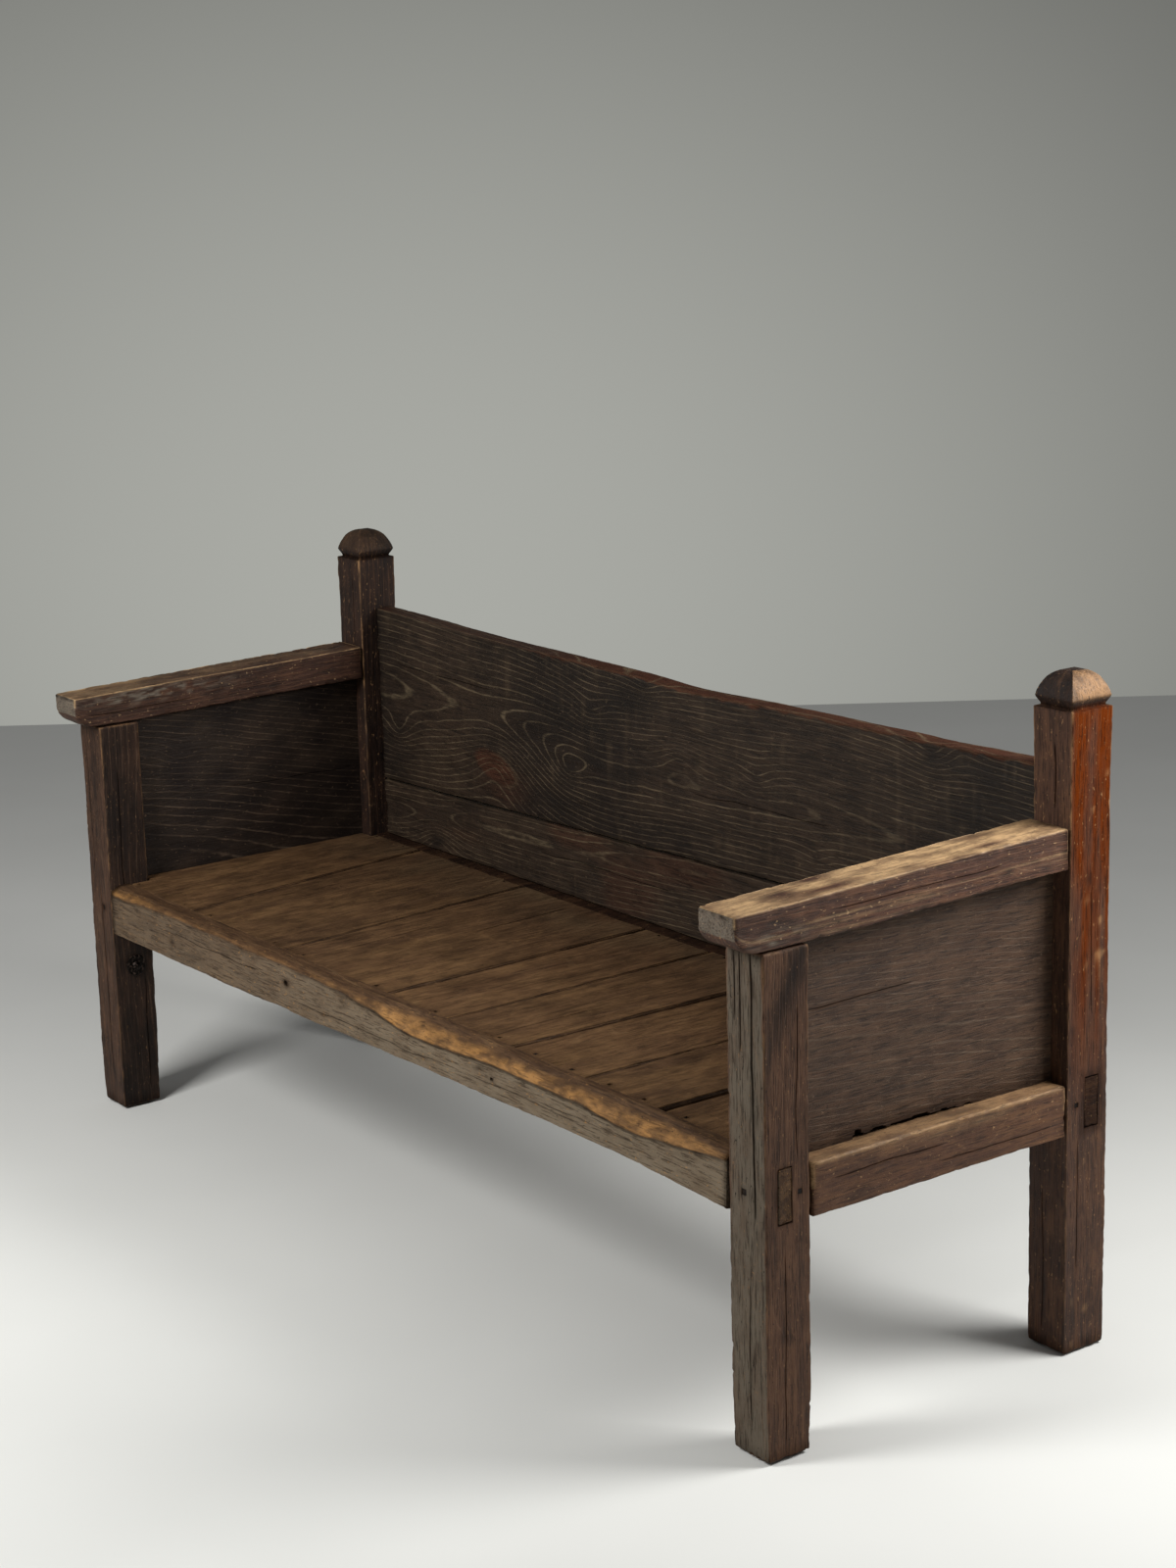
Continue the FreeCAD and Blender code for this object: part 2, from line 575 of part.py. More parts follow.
def front_seat_rail():
    """The front rail: hollowed underside, worn top arris, ledge for the boards, through tenons."""
    rail = new_body("front_seat_rail")
    place(rail, f"{LEFT_FACE} + leg_width", FRONT_FACE, RAIL_BOTTOM)
    run = "(bench_length - 2 * leg_width)"
    sketch = new_sketch(rail, "XZ_Plane", "face_outline")
    hollow_radius = f"(({run} / 2) ^ 2 + rail_hollow ^ 2) / (2 * rail_hollow)"
    add_loop(sketch, rectangle("0", "0", run, "rail_height"), {0: (hollow_radius, -1)})
    pad(rail, "face_shape", sketch, "front_rail_thick")
    wear_top_arris(rail, run)
    cut_block(rail, "board_ledge", ("0", "front_strip", "rail_height - board_thick"),
              (run, "front_rail_thick - front_strip", "board_thick"))
    rail_joints(rail, "leg_width", "front_rail_thick", "front_tenon_setback", "front_tenon_thick")
    rail_nail_holes(rail, "leg_width", "front_strip + fit_gap + nail_front", False)
    keep(rail, "front_seat_rail")


def wear_top_arris(rail, run):
    """Wears the front rail's top arris away to a bevel that deepens and fades along the rail."""
    sections = []
    for number in range(1, WEAR_STATIONS + 1):
        drop = f"wear_{number}_drop"
        section = new_sketch(rail, "YZ_Plane", f"wear_{number}_outline",
                             f"{run} * {number - 1} / {WEAR_STATIONS - 1}")
        corners = [
            ("-fit_gap", f"rail_height - {drop}"),
            (f"{drop} * wear_slope", "rail_height + fit_gap"),
            ("-fit_gap", "rail_height + fit_gap"),
        ]
        add_loop(section, corners)
        sections.append(section)
    before = rail.Shape.Volume
    worn = rail.newObject("PartDesign::SubtractiveLoft", "worn_arris")
    worn.Profile = sections[0]
    worn.Sections = sections[1:]
    worn.Ruled = True
    doc.recompute()
    if rail.Shape.Volume >= before:
        raise RuntimeError("the worn arris cuts nothing")


def rear_seat_rail():
    """The rear rail: it carries the boards' rear ends on a ledge and the back on its top."""
    rail = new_body("rear_seat_rail")
    place(rail, f"{LEFT_FACE} + post_width", POST_FRONT, RAIL_BOTTOM)
    add_block(rail, "blank", ("0", "0", "0"), (BACK_RUN, "rear_rail_thick", "rail_height"))
    cut_block(rail, "board_ledge", ("0", "0", "rail_height - board_thick"),
              (BACK_RUN, "rear_bearing", "board_thick"))
    rail_joints(rail, "post_width", "rear_rail_thick", "rear_tenon_setback", "rear_tenon_thick")
    rail_nail_holes(rail, "post_width", "rear_bearing - fit_gap - nail_rear", True)
    keep(rail, "rear_seat_rail")


def seat_board(number):
    """One seat board. The outermost two are notched round a leg and a post."""
    board = new_body(f"seat_board_{number}")
    place(board, f"{LEFT_FACE} + {PANEL_INNER}", f"{FRONT_FACE} + front_strip + fit_gap",
          BOARD_BOTTOM)
    left_gap = "board_gap / 2" if number > 1 else "board_gap"
    right_gap = "board_gap / 2" if number < BOARDS else "board_gap"
    if number == BOARDS:
        left_gap = "last_gap / 2"
    if number == BOARDS - 1:
        right_gap = "last_gap / 2"
    front_left = f"{seam(number - 1, False)} + {left_gap}"
    rear_left = f"{seam(number - 1, True)} + {left_gap}"
    front_right = f"{seam(number, False)} - {right_gap}"
    rear_right = f"{seam(number, True)} - {right_gap}"
    corners = [(front_left, "0"), (front_right, "0"), (rear_right, BOARD_LENGTH),
               (rear_left, BOARD_LENGTH)]
    leg_end = "leg_depth - front_strip - fit_gap + board_gap"
    post_end = f"{BOARD_LENGTH} - rear_bearing - board_gap"
    if number == 1:
        corners = [(LEG_NOTCH, "0"), (front_right, "0"), (rear_right, BOARD_LENGTH),
                   (POST_NOTCH, BOARD_LENGTH), (POST_NOTCH, post_end), (rear_left, post_end),
                   (front_left, leg_end), (LEG_NOTCH, leg_end)]
    if number == BOARDS:
        leg_side = f"{SEAT_RUN} - {LEG_NOTCH}"
        post_side = f"{SEAT_RUN} - {POST_NOTCH}"
        corners = [(front_left, "0"), (leg_side, "0"), (leg_side, leg_end), (front_right, leg_end),
                   (rear_right, post_end), (post_side, post_end), (post_side, BOARD_LENGTH),
                   (rear_left, BOARD_LENGTH)]
    sketch = new_sketch(board, "XY_Plane", "top_outline")
    add_loop(sketch, corners)
    pad(board, "board", sketch, "board_thick")
    holes = new_sketch(board, "XY_Plane", "nail_outline")
    for across, deep in nail_places(number, False) + nail_places(number, True):
        add_loop(holes, nail_hole(across, deep))
    pocket(board, "nail_holes", holes, "board_thick")
    keep(board, board.Label)


def seam_up(across):
    """The height of the back's sloping seam above the seat, along the back."""
    slope = f"(lower_board_right - lower_board_left) / {BACK_RUN}"
    return f"(lower_board_left + {slope} * ({across}))"


def back_board(label, is_upper):
    """One board of the back. Its ends are thinned to a tongue that is let into the post."""
    board = new_body(label)
    place(board, f"{LEFT_FACE} + post_width", f"{POST_FRONT} + back_setback", "seat_height")
    left = "-tongue_length"
    right = f"({BACK_RUN} + tongue_length)"
    top = "back_above_seat"
    sketch = new_sketch(board, "XZ_Plane", "face_outline")
    if is_upper:
        half = f"({BACK_RUN} / 2 + tongue_length)"
        dip_radius = f"({half} ^ 2 + back_dip ^ 2) / (2 * back_dip)"
        corners = [(left, seam_up(left)), (right, seam_up(right)), (right, top), (left, top)]
        add_loop(sketch, corners, {2: (dip_radius, -1)})
    else:
        corners = [(left, "0"), (right, "0"), (right, seam_up(right)), (left, seam_up(left))]
        add_loop(sketch, corners)
    pad(board, "plank", sketch, "back_thick")
    if is_upper:
        dress_edges(board, "Fillet", "worn_arris",
                    lambda edge: edge.BoundBox.ZMax > value(top) - 0.1 and edge.BoundBox.XLength > 100
                    and edge.BoundBox.YMax < 0.1, "Radius", "back_arris")
    cheek = "(back_thick - tongue_thick) / 2"
    length = "(tongue_length + back_end_gap)"
    for end_name, start in (("left", left), ("right", f"{BACK_RUN} - back_end_gap")):
        for face_name, level in (("front", "0"), ("rear", f"back_thick - {cheek}")):
            cut_block(board, f"{end_name}_{face_name}_cheek", (start, level, "0"),
                      (length, cheek, top))
    keep(board, label)


def peg(name, across, deep, along_bench):
    """One whittled peg, driven in level from a face of a leg or a post."""
    piece = doc.addObject("Part::Prism", name)
    piece.Polygon = PEG_SIDES
    bind(piece, "Circumradius", "peg_radius")
    bind(piece, "Height", "side_peg_length" if along_bench else "rail_peg_length")
    axis = FreeCAD.Vector(0, 1, 0) if along_bench else FreeCAD.Vector(-1, 0, 0)
    piece.Placement.Rotation = FreeCAD.Rotation(axis, 90)
    place(piece, across, deep, PEG_HEIGHT)
    return piece


def pegs():
    """The draw pegs, one node for each kind of joint."""
    leg_peg_across = f"{LEFT_FACE} + leg_width - rail_peg_inset"
    post_peg_across = f"{LEFT_FACE} + post_width - rail_peg_inset"
    groups = {
        "front_rail_pegs": [peg("front_rail_peg", leg_peg_across, FRONT_FACE, False)],
        "rear_rail_pegs": [peg("rear_rail_peg", post_peg_across,
                               f"{FRONT_FACE} + frame_depth - rail_peg_length", False)],
        "side_rail_pegs": [
            peg("side_peg_front", LEFT_FACE, f"{FRONT_FACE} + leg_depth - side_peg_inset", True),
            peg("side_peg_rear", LEFT_FACE, f"{POST_FRONT} + side_peg_inset", True),
        ],
    }
    for label, left_pegs in groups.items():
        group = doc.addObject("Part::Compound", label)
        links = list(left_pegs)
        for left_peg in left_pegs:
            right_peg = doc.addObject("Part::Mirroring", f"{left_peg.Name}_right")
            right_peg.Source = left_peg
            right_peg.Normal = FreeCAD.Vector(1, 0, 0)
            links.append(right_peg)
        group.Links = links
        keep(group, label)


def seat_nails():
    """The square nails through the board ends, sunk just below the seat."""
    group = doc.addObject("Part::Compound", "seat_nails")
    nails = []
    for number in range(1, BOARDS + 1):
        spots = nail_places(number, False) + nail_places(number, True)
        for place_number, (across, deep) in enumerate(spots, 1):
            nail = doc.addObject("Part::Wedge", f"nail_{number}_{place_number}")
            spans = {
                "Xmin": "-nail_point / 2", "Xmax": "nail_point / 2",
                "Zmin": "-nail_point / 2", "Zmax": "nail_point / 2",
                "X2min": "-nail_width / 2", "X2max": "nail_width / 2",
                "Z2min": "-nail_width / 2", "Z2max": "nail_width / 2",
                "Ymin": "0 * nail_length", "Ymax": "nail_length",
            }
            for property_name, expression in spans.items():
                bind(nail, property_name, expression)
            nail.Placement.Rotation = FreeCAD.Rotation(FreeCAD.Vector(1, 0, 0), 90)
            place(nail, f"{LEFT_FACE} + {PANEL_INNER} + {across}",
                  f"{FRONT_FACE} + front_strip + fit_gap + {deep}",
                  "seat_height - nail_sink - nail_length")
            nails.append(nail)
    group.Links = nails
    keep(group, "seat_nails")


def leg_bolt():
    """The old iron bolt in the left leg, with its domed head, and the washer under the head."""
    bolt = new_body("leg_bolt")
    sketch = new_sketch(bolt, "XZ_Plane", "half_outline")
    head_curve = "(bolt_head_radius ^ 2 + bolt_head_rise ^ 2) / (2 * bolt_head_rise)"
    corners = [
        ("0", "-bolt_length"),
        ("bolt_radius", "-bolt_length"),
        ("bolt_radius", "washer_thick"),
        ("bolt_head_radius", "washer_thick"),
        ("0", "washer_thick + bolt_head_rise"),
    ]
    add_loop(sketch, corners, {3: (head_curve, 1)})
    turned = bolt.newObject("PartDesign::Revolution", "turned_shape")
    turned.Profile = sketch
    turned.ReferenceAxis = (sketch, ["V_Axis"])
    turned.Angle = 360
    bolt.Placement.Rotation = FreeCAD.Rotation(FreeCAD.Vector(0, 1, 0), 90)
    place(bolt, f"{LEFT_FACE} + leg_width", f"{FRONT_FACE} + bolt_setback", "bolt_height")
    keep(bolt, "leg_bolt")
    washer = new_body("leg_washer")
    ring = new_sketch(washer, "XY_Plane", "ring_outline")
    add_circle(ring, "0", "0", "washer_radius")
    add_circle(ring, "0", "0", "bolt_radius + fit_gap")
    pad(washer, "ring", ring, "washer_thick")
    washer.Placement.Rotation = FreeCAD.Rotation(FreeCAD.Vector(0, 1, 0), 90)
    place(washer, f"{LEFT_FACE} + leg_width", f"{FRONT_FACE} + bolt_setback", "bolt_height")
    keep(washer, "leg_washer")


def check_document():
    """Stops on any object that failed and on any piece that is empty or not sound."""
    doc.recompute()
    for item in doc.Objects:
        if "Invalid" in item.State or "Error" in item.State:
            raise RuntimeError(f"{item.Label} failed: {item.State}")
    for piece in pieces:
        if piece.Shape.isNull() or not piece.Shape.isValid() or not piece.Shape.Solids:
            raise RuntimeError(f"{piece.Label} has no sound solid")


def write_pieces():
    """Writes each piece to its own file."""
    os.makedirs("parts", exist_ok=True)
    for piece in pieces:
        piece.Shape.exportStep(f"parts/{piece.Label}.step")
        litres = piece.Shape.Volume / 1e6
        print(f"{piece.Label}: {len(piece.Shape.Solids)} solid(s), {litres:.4f} litres")


front_legs()
rear_post()
armrest()
side_rail()
side_panel()
front_seat_rail()
rear_seat_rail()
for board_number in range(1, BOARDS + 1):
    seat_board(board_number)
back_board("back_board_lower", False)
back_board("back_board_upper", True)
pegs()
seat_nails()
leg_bolt()
check_document()
write_pieces()
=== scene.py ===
import math

import bpy
import numpy as np
from mathutils import Matrix, Vector

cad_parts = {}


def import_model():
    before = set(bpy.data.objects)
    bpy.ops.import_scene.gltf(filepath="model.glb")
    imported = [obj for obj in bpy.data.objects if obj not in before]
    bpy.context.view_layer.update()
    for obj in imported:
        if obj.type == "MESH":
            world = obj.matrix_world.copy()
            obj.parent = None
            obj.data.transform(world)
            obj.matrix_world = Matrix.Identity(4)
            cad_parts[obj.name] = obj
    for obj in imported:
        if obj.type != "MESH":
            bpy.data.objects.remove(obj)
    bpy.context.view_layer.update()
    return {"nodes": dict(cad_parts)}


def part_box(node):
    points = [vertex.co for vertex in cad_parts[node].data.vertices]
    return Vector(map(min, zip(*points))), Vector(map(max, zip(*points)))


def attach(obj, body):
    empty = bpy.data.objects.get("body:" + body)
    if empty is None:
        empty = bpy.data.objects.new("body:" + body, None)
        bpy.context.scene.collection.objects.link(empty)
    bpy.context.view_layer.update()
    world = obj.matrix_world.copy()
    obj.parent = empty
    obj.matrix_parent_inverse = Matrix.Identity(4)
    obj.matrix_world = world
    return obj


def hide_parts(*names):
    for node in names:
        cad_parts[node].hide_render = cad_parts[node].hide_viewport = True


# Looks of the monks bench: worn, hand-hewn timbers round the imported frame.
# Places are in the row frame. Sizes in this script are millimetres until a mesh is made.

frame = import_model()

MM = 0.001
X, Y, Z = 0, 1, 2
LEFT, RIGHT = -1, 1
SIDE_NAMES = {LEFT: "left", RIGHT: "right"}

# Grid lines beside an arris, from the arris inwards
ARRIS_LINES = (0, 0.6, 1.4, 2.5, 3.9, 5.7, 8.0)
SLIT = 0.12  # distance between the two grid lines that make a sharp step


def box_of(node):
    """The lowest and highest corner of a node of the frame, in millimetres."""
    low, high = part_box(node)
    return np.array(low) / MM, np.array(high) / MM


def points_of(node):
    """All the points of a node of the frame, in millimetres."""
    return np.array([vertex.co for vertex in frame["nodes"][node].data.vertices]) / MM


def step(low, high, value):
    """0 below low, 1 above high and a smooth rise between."""
    share = np.clip((value - low) / (high - low), 0, 1)
    return share * share * (3 - 2 * share)


def hump(value, centre, half_width):
    """1 at the centre, fading smoothly to nothing at about twice the half width."""
    return np.exp(-((value - centre) / half_width) ** 2)


def random_cells(cells, seed):
    """A repeatable number from 0 to 1 for each whole-number cell."""
    mixed = cells[:, 0] * 73856093 ^ cells[:, 1] * 19349663 ^ cells[:, 2] * 83492791 ^ seed * 2654435
    mixed = ((mixed & 0xFFFFFFFF) ^ (mixed >> 15 & 0x1FFFF)) * 1274126177 & 0xFFFFFFFF
    mixed = (mixed ^ (mixed >> 13)) * 974634781 & 0xFFFFFFFF
    return ((mixed ^ (mixed >> 16)) & 0xFFFF) / 65535


def swell(points, width, seed):
    """Smooth noise from -1 to 1 at each point. The waves have the given width along each axis."""
    scaled = points / np.array(width, float) + seed * 7.31
    corner = np.floor(scaled).astype(np.int64)
    part = scaled - corner
    part = part * part * (3 - 2 * part)
    total = np.zeros(len(points))
    for offset in np.ndindex(2, 2, 2):
        weight = np.prod(np.where(offset, part, 1 - part), axis=1)
        total += weight * random_cells(corner + np.array(offset), seed)
    return total * 2 - 1


def grid_lines(length, spacing, marks=()):
    """Where the grid lines lie along one side of a timber: denser at its arrises and at the marks."""
    near = np.array([line for line in ARRIS_LINES if line < length / 2])
    inner = length - 2 * near[-1]
    middle = near[-1] + inner * np.linspace(0, 1, max(1, round(inner / spacing)) + 1)
    plain = np.unique(np.round(np.concatenate([near, middle, length - near]), 3))
    ends = (plain < 0.01) | (plain > length - 0.01)
    clear = [all(abs(line - mark) > 0.4 for mark in marks) for line in plain]
    return np.array(sorted(set(plain[ends | np.array(clear)]) | set(marks)))


def pit_marks(centre, radius):
    """Grid lines for a round pit: two close together at its rim, and some within it."""
    shares = (-1, -0.62, 0, 0.62, 1)
    return [centre - radius - SLIT, centre + radius + SLIT] + [centre + radius * share for share in shares]


class Timber:
    """A worn timber. It starts as a fine box grid in its own frame, from 0 to its size."""

    def __init__(self, size, spacing, grain, seed, marks=None, cracks=(), pits=(), holes=()):
        self.size = np.array(size, float)
        self.grain = grain
        self.seed = seed
        self.cracks = cracks
        self.pits = pits
        marks = {axis: list((marks or {}).get(axis, ())) for axis in (X, Y, Z)}
        for slit in cracks:
            marks[slit["across"]] += [slit["at"] + share * slit["width"] for share in (-1, 0, 1)]
        for dip in pits:
            for axis, centre in dip["centre"].items():
                marks[axis] += pit_marks(centre, dip["radius"])
        for through, first, second in holes:
            first_axis, second_axis = [axis for axis in (X, Y, Z) if axis != through]
            marks[first_axis] += list(first)
            marks[second_axis] += list(second)
        self.lines = [grid_lines(self.size[axis], spacing[axis], marks[axis]) for axis in (X, Y, Z)]
        self.box, self.quads = self.skin(holes)
        self.place = self.box.copy()
        self.facing = np.zeros_like(self.box)
        self.rub_and_sheen = np.zeros(len(self.box))
        self.grime_and_shade = np.zeros(len(self.box))
        self.coat = np.zeros(len(self.box))

    def skin(self, holes):
        """The points and quads of the box's surface, with square holes right through it."""
        counts = [len(line) for line in self.lines]
        on_surface = np.zeros(counts, bool)
        for axis in (X, Y, Z):
            for end in (0, -1):
                on_surface[(slice(None),) * axis + (end,)] = True
        number = np.full(counts, -1)
        number[on_surface] = np.arange(on_surface.sum())
        where = np.argwhere(on_surface)
        points = np.column_stack([self.lines[axis][where[:, axis]] for axis in (X, Y, Z)])
        quads = []
        for axis in (X, Y, Z):
            for end in (0, -1):
                sheet = number[(slice(None),) * axis + (end,)]
                sides = [sheet[:-1, :-1], sheet[1:, :-1], sheet[1:, 1:], sheet[:-1, 1:]]
                faces = np.stack(sides, -1).reshape(-1, 4)
                for through, first, second in holes:
                    if through == axis:
                        first_axis, second_axis = [other for other in (X, Y, Z) if other != axis]
                        middle = points[faces].mean(axis=1)
                        inside = (middle[:, first_axis] > first[0]) & (middle[:, first_axis] < first[1])
                        inside &= (middle[:, second_axis] > second[0]) & (middle[:, second_axis] < second[1])
                        faces = faces[~inside]
                outward = (end == -1) != (axis == Y)
                quads.append(faces if outward else faces[:, ::-1])
        for through, first, second in holes:
            quads.append(self.hole_walls(number, through, first, second))
        return points, np.concatenate(quads)

    def hole_walls(self, number, through, first, second):
        """The four walls of a hole right through the box."""
        first_axis, second_axis = [axis for axis in (X, Y, Z) if axis != through]
        low_a, high_a = np.searchsorted(self.lines[first_axis], np.array(first) - 0.01)
        low_b, high_b = np.searchsorted(self.lines[second_axis], np.array(second) - 0.01)
        ring = [(a, low_b) for a in range(low_a, high_a)] + [(high_a, b) for b in range(low_b, high_b)]
        ring += [(a, high_b) for a in range(high_a, low_a, -1)]
        ring += [(low_a, b) for b in range(high_b, low_b, -1)]
        near = number[(slice(None),) * through + (0,)]
        far = number[(slice(None),) * through + (-1,)]
        walls = []
        for here, after in zip(ring, ring[1:] + ring[:1]):
            wall = [near[here], near[after], far[after], far[here]]
            walls.append(wall if through == Y else wall[::-1])
        return np.array(walls)

    def swell(self, width, number, axes=(X, Y, Z)):
        """Smooth noise at the timber's points. It varies along the given axes only."""
        points = np.zeros_like(self.box)
        points[:, axes] = self.box[:, axes]
        return swell(points, width, self.seed + number)

    def worn_radius(self, radius, chip):
        """An arris radius that varies along the timber, with chips where the wood has broken away."""
        soft = 1 + 0.4 * self.swell(60, 0)
        chips = np.clip(self.swell(16, 1) - 0.3, 0, 1) + 1.4 * np.clip(self.swell(8, 2) - 0.3, 0, 1)
        return radius * soft + chip * chips

    def round_arrises(self, radius):
        """Rounds the arrises. The radius is one number or one for each point."""
        radius = np.clip(radius * np.ones(len(self.box)), 0.3, self.size.min() / 2 - 0.05)[:, None]
        core = np.clip(self.box, radius, self.size - radius)
        away = self.box - core
        self.facing = away / np.linalg.norm(away, axis=1)[:, None]
        self.place = core + self.facing * radius

    def from_arris(self):
        """How far each point lies from the nearest arris, in millimetres."""
        inset = np.minimum(self.box, self.size - self.box)
        return np.sort(inset, axis=1)[:, 1]

    def push(self, amount):
        """Moves each point along its facing."""
        self.place += self.facing * np.reshape(amount, (-1, 1))

    def hew(self, wave, dent):
        """The uneven faces of a timber hewn by hand: long waves, small dents and soft ridges."""
        along = np.full(3, 34.0)
        along[self.grain] = 170
        ridge = np.full(3, 7.0)
        ridge[self.grain] = 120
        self.push(wave * (self.swell(along, 0) - 1) + dent * (self.swell(13, 1) - 1)
                  + 0.25 * self.swell(ridge, 2) - 0.25)

    def on_face(self, axis, end):
        """True for the points of one face. The end is 0 for its low side and 1 for its high side."""
        return np.abs(self.box[:, axis] - end * self.size[axis]) < 0.01

    def soil_and_shade(self, amount):
        """Adds dirt, and painted shade in seams, splits and shaded places, where it is more than what is
        there.
        """
        self.grime_and_shade = np.maximum(self.grime_and_shade, amount)

    def open_cracks(self):
        """Opens the drying cracks: V-shaped slits that wander a little along the grain."""
        for number, slit in enumerate(self.cracks):
            along = self.box[:, self.grain]
            ends = step(slit["start"], slit["start"] + slit["fade"], along)
            ends *= 1 - step(slit["end"] - slit["fade"], slit["end"], along)
            ends *= 0.75 + 0.25 * self.swell(22, number, self.grain)
            beside = self.box[:, slit["across"]] - slit["at"]
            drift = slit["wander"] * self.swell(70, 40 + number, self.grain)
            on_face = self.on_face(slit["face"], slit["side"])
            near = on_face * drift * hump(beside, 0, 14) * step(0, 8, self.from_arris())
            self.place[:, slit["across"]] += near
            deep = np.clip(1 - np.abs(beside) / (slit["width"] * 0.9), 0, 1) * ends * on_face
            self.place[:, slit["face"]] += (1 - 2 * slit["side"]) * slit["depth"] * deep
            self.soil_and_shade(deep * 0.95 + 0.35 * ends * on_face * hump(beside, 0, 2 * slit["width"]))

    def sink_pits(self):
        """Sinks round pits into the faces, for nails and pegs."""
        for dip in self.pits:
            apart = [self.box[:, axis] - centre for axis, centre in dip["centre"].items()]
            distance = np.hypot(*apart)
            cornered = np.maximum(np.abs(apart[0]), np.abs(apart[1]))
            on_face = self.on_face(dip["face"], dip["side"])
            inside = on_face & (cornered < dip["radius"] + 0.01) & (distance < dip["radius"] * 1.2)
            self.place[:, dip["face"]] += (1 - 2 * dip["side"]) * dip["depth"] * inside
            stain = on_face * hump(distance, 0, dip["radius"] * 1.7)
            self.soil_and_shade(np.maximum(inside * 0.9, stain * 0.6))

    def growth_rings(self, pith, wander, knots, tilt=0):
        """Each point's distance from the pith, in millimetres, bent round the knots.

        The pith's place is given on the two axes across the grain, and so is each knot's, after its
        place along the grain. A knot has a radius and a lift, which bends the rings round it. The
        tilt is how fast the pith runs out of the board, which draws the rings into long loops.
        """
        across, through = [axis for axis in (X, Y, Z) if axis != self.grain]
        along = self.box[:, self.grain]
        waves = np.full(3, 60.0)
        waves[self.grain] = 260
        over = self.box[:, across] - pith[0] - wander * self.swell(430, 0, self.grain)
        under = self.box[:, through] - pith[1] - wander * self.swell(310, 1, self.grain) + tilt * along
        rings = np.hypot(over, under) + 3.5 * self.swell(waves, 2)
        knot_mask = np.zeros(len(self.box))
        for knot_along, knot_over, knot_under, radius, lift in knots:
            sideways = (self.box[:, across] - knot_over) ** 2 + (self.box[:, through] - knot_under) ** 2
            away = np.sqrt(((along - knot_along) / 1.5) ** 2 + sideways)
            rings += lift * np.exp(-(away / (2.4 * radius)) ** 1.5)
            knot_mask = np.maximum(knot_mask, hump(away, 0, radius * 0.8))
        return rings, knot_mask


def crack(face, side, across, at, start, end, width=1.2, depth=8, wander=1.5, fade=40):
    """A drying crack on one face: its place across the face and its stretch along the grain."""
    return dict(face=face, side=side, across=across, at=at, start=start, end=end, width=width,
                depth=depth, wander=wander, fade=fade)


def pit(face, side, centre, radius, depth):
    """A round pit in one face. The centre gives its place on the face's two axes."""
    return dict(face=face, side=side, centre=centre, radius=radius, depth=depth)


def shell_volume(points, quads):
    """The signed volume inside a closed skin of quads."""
    first, second, third, fourth = (points[quads[:, corner]] for corner in range(4))
    return (np.einsum("ij,ij", first, np.cross(second, third))
            + np.einsum("ij,ij", first, np.cross(third, fourth))) / 6


def make_mesh(name, points, quads, material):
    """A mesh object in metres at the origin, with its faces outwards and its sharp arrises kept."""
    if shell_volume(points, quads) < 0:
        quads = quads[:, ::-1]
    mesh = bpy.data.meshes.new(name)
    mesh.vertices.add(len(points))
    mesh.vertices.foreach_set("co", (points * MM).astype(np.float32).ravel())
    mesh.loops.add(quads.size)
    mesh.loops.foreach_set("vertex_index", quads.astype(np.int32).ravel())
    mesh.polygons.add(len(quads))
    mesh.polygons.foreach_set("loop_start", np.arange(0, quads.size, 4, dtype=np.int32))
    mesh.update(calc_edges=True)
    mesh.validate()
    mesh.shade_smooth()
    mesh.set_sharp_from_angle(angle=math.radians(48))
    mesh.materials.append(material)
    thing = bpy.data.objects.new(name, mesh)
    bpy.context.scene.collection.objects.link(thing)
    return thing


def paint(thing, masks):
    """Stores the masks that a material reads, one number for each point."""
    for name, numbers in masks.items():
        attribute = thing.data.attributes.new(name, "FLOAT", "POINT")
        spread_out = np.broadcast_to(numbers, len(thing.data.vertices))
        attribute.data.foreach_set("value", spread_out.astype(np.float32))


def install(thing, slot, *nodes):
    """Makes a finished piece stand for its nodes and ride on the bench's one body."""
    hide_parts(*nodes)
    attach(thing, "root")


# Sizes shared by the pieces, in the row frame

HALF_LENGTH = 950
LEG_WIDE = 80
POST_SIZE = (78, 82, 994)
PEG_RISE = 376  # the floor to the pegs' axes
LEG_FRONT = box_of("front_leg_right")[0][Y]
POST_FRONT = box_of("rear_post_right")[0][Y]
SEAT_TOP = box_of("seat_board_4")[1][Z]
BOARD_BOTTOM = box_of("seat_board_4")[0][Z]
RAIL_BOTTOM = box_of("front_seat_rail")[0][Z]
ARM_BOTTOM = box_of("armrest_right")[0][Z]
TENON_TALL = 76  # the through tenons, at the legs' and posts' outer faces


def place_in_row(timber, low, side=RIGHT):
    """Moves a timber from its own frame to the row frame. The left one mirrors the right one."""
    timber.place = timber.place + np.array(low, float)
    if side == LEFT:
        timber.place[:, X] *= -1


def finish_timber(timber, node, material, slot, rings, tone):
    """Makes the timber's mesh with its masks, and puts it in its node's place."""
    thing = make_mesh("worn_" + node, timber.place, timber.quads, material)
    distance, knots = rings
    paint(thing, dict(rings=distance, knots=knots, rub_and_sheen=timber.rub_and_sheen, grime_and_shade=timber.grime_and_shade, coat=timber.coat,
                      tone=tone))
    install(thing, slot, node)


# The front legs

LEG_CRACKS = {
    RIGHT: [crack(Y, 0, X, 54, 330, 715, 2.0, 14, 2.5), crack(Y, 0, X, 31, 560, 708, 1.5, 9, 2),
            crack(Y, 0, X, 20, 600, 712, 1.4, 9, 1.5), crack(Y, 0, X, 43, 30, 260, 0.9, 7, 2.5),
            crack(X, 1, Y, 57, 420, 640, 0.8, 6, 2), crack(X, 1, Y, 34, 20, 300, 0.8, 6, 2.5)],
    LEFT: [crack(Y, 0, X, 38, 60, 420, 1.0, 9, 2.5), crack(X, 0, Y, 30, 330, 640, 1.0, 8, 3),
           crack(X, 0, Y, 60, 20, 250, 0.9, 8, 2), crack(Y, 0, X, 58, 430, 690, 0.9, 7, 2)],
}
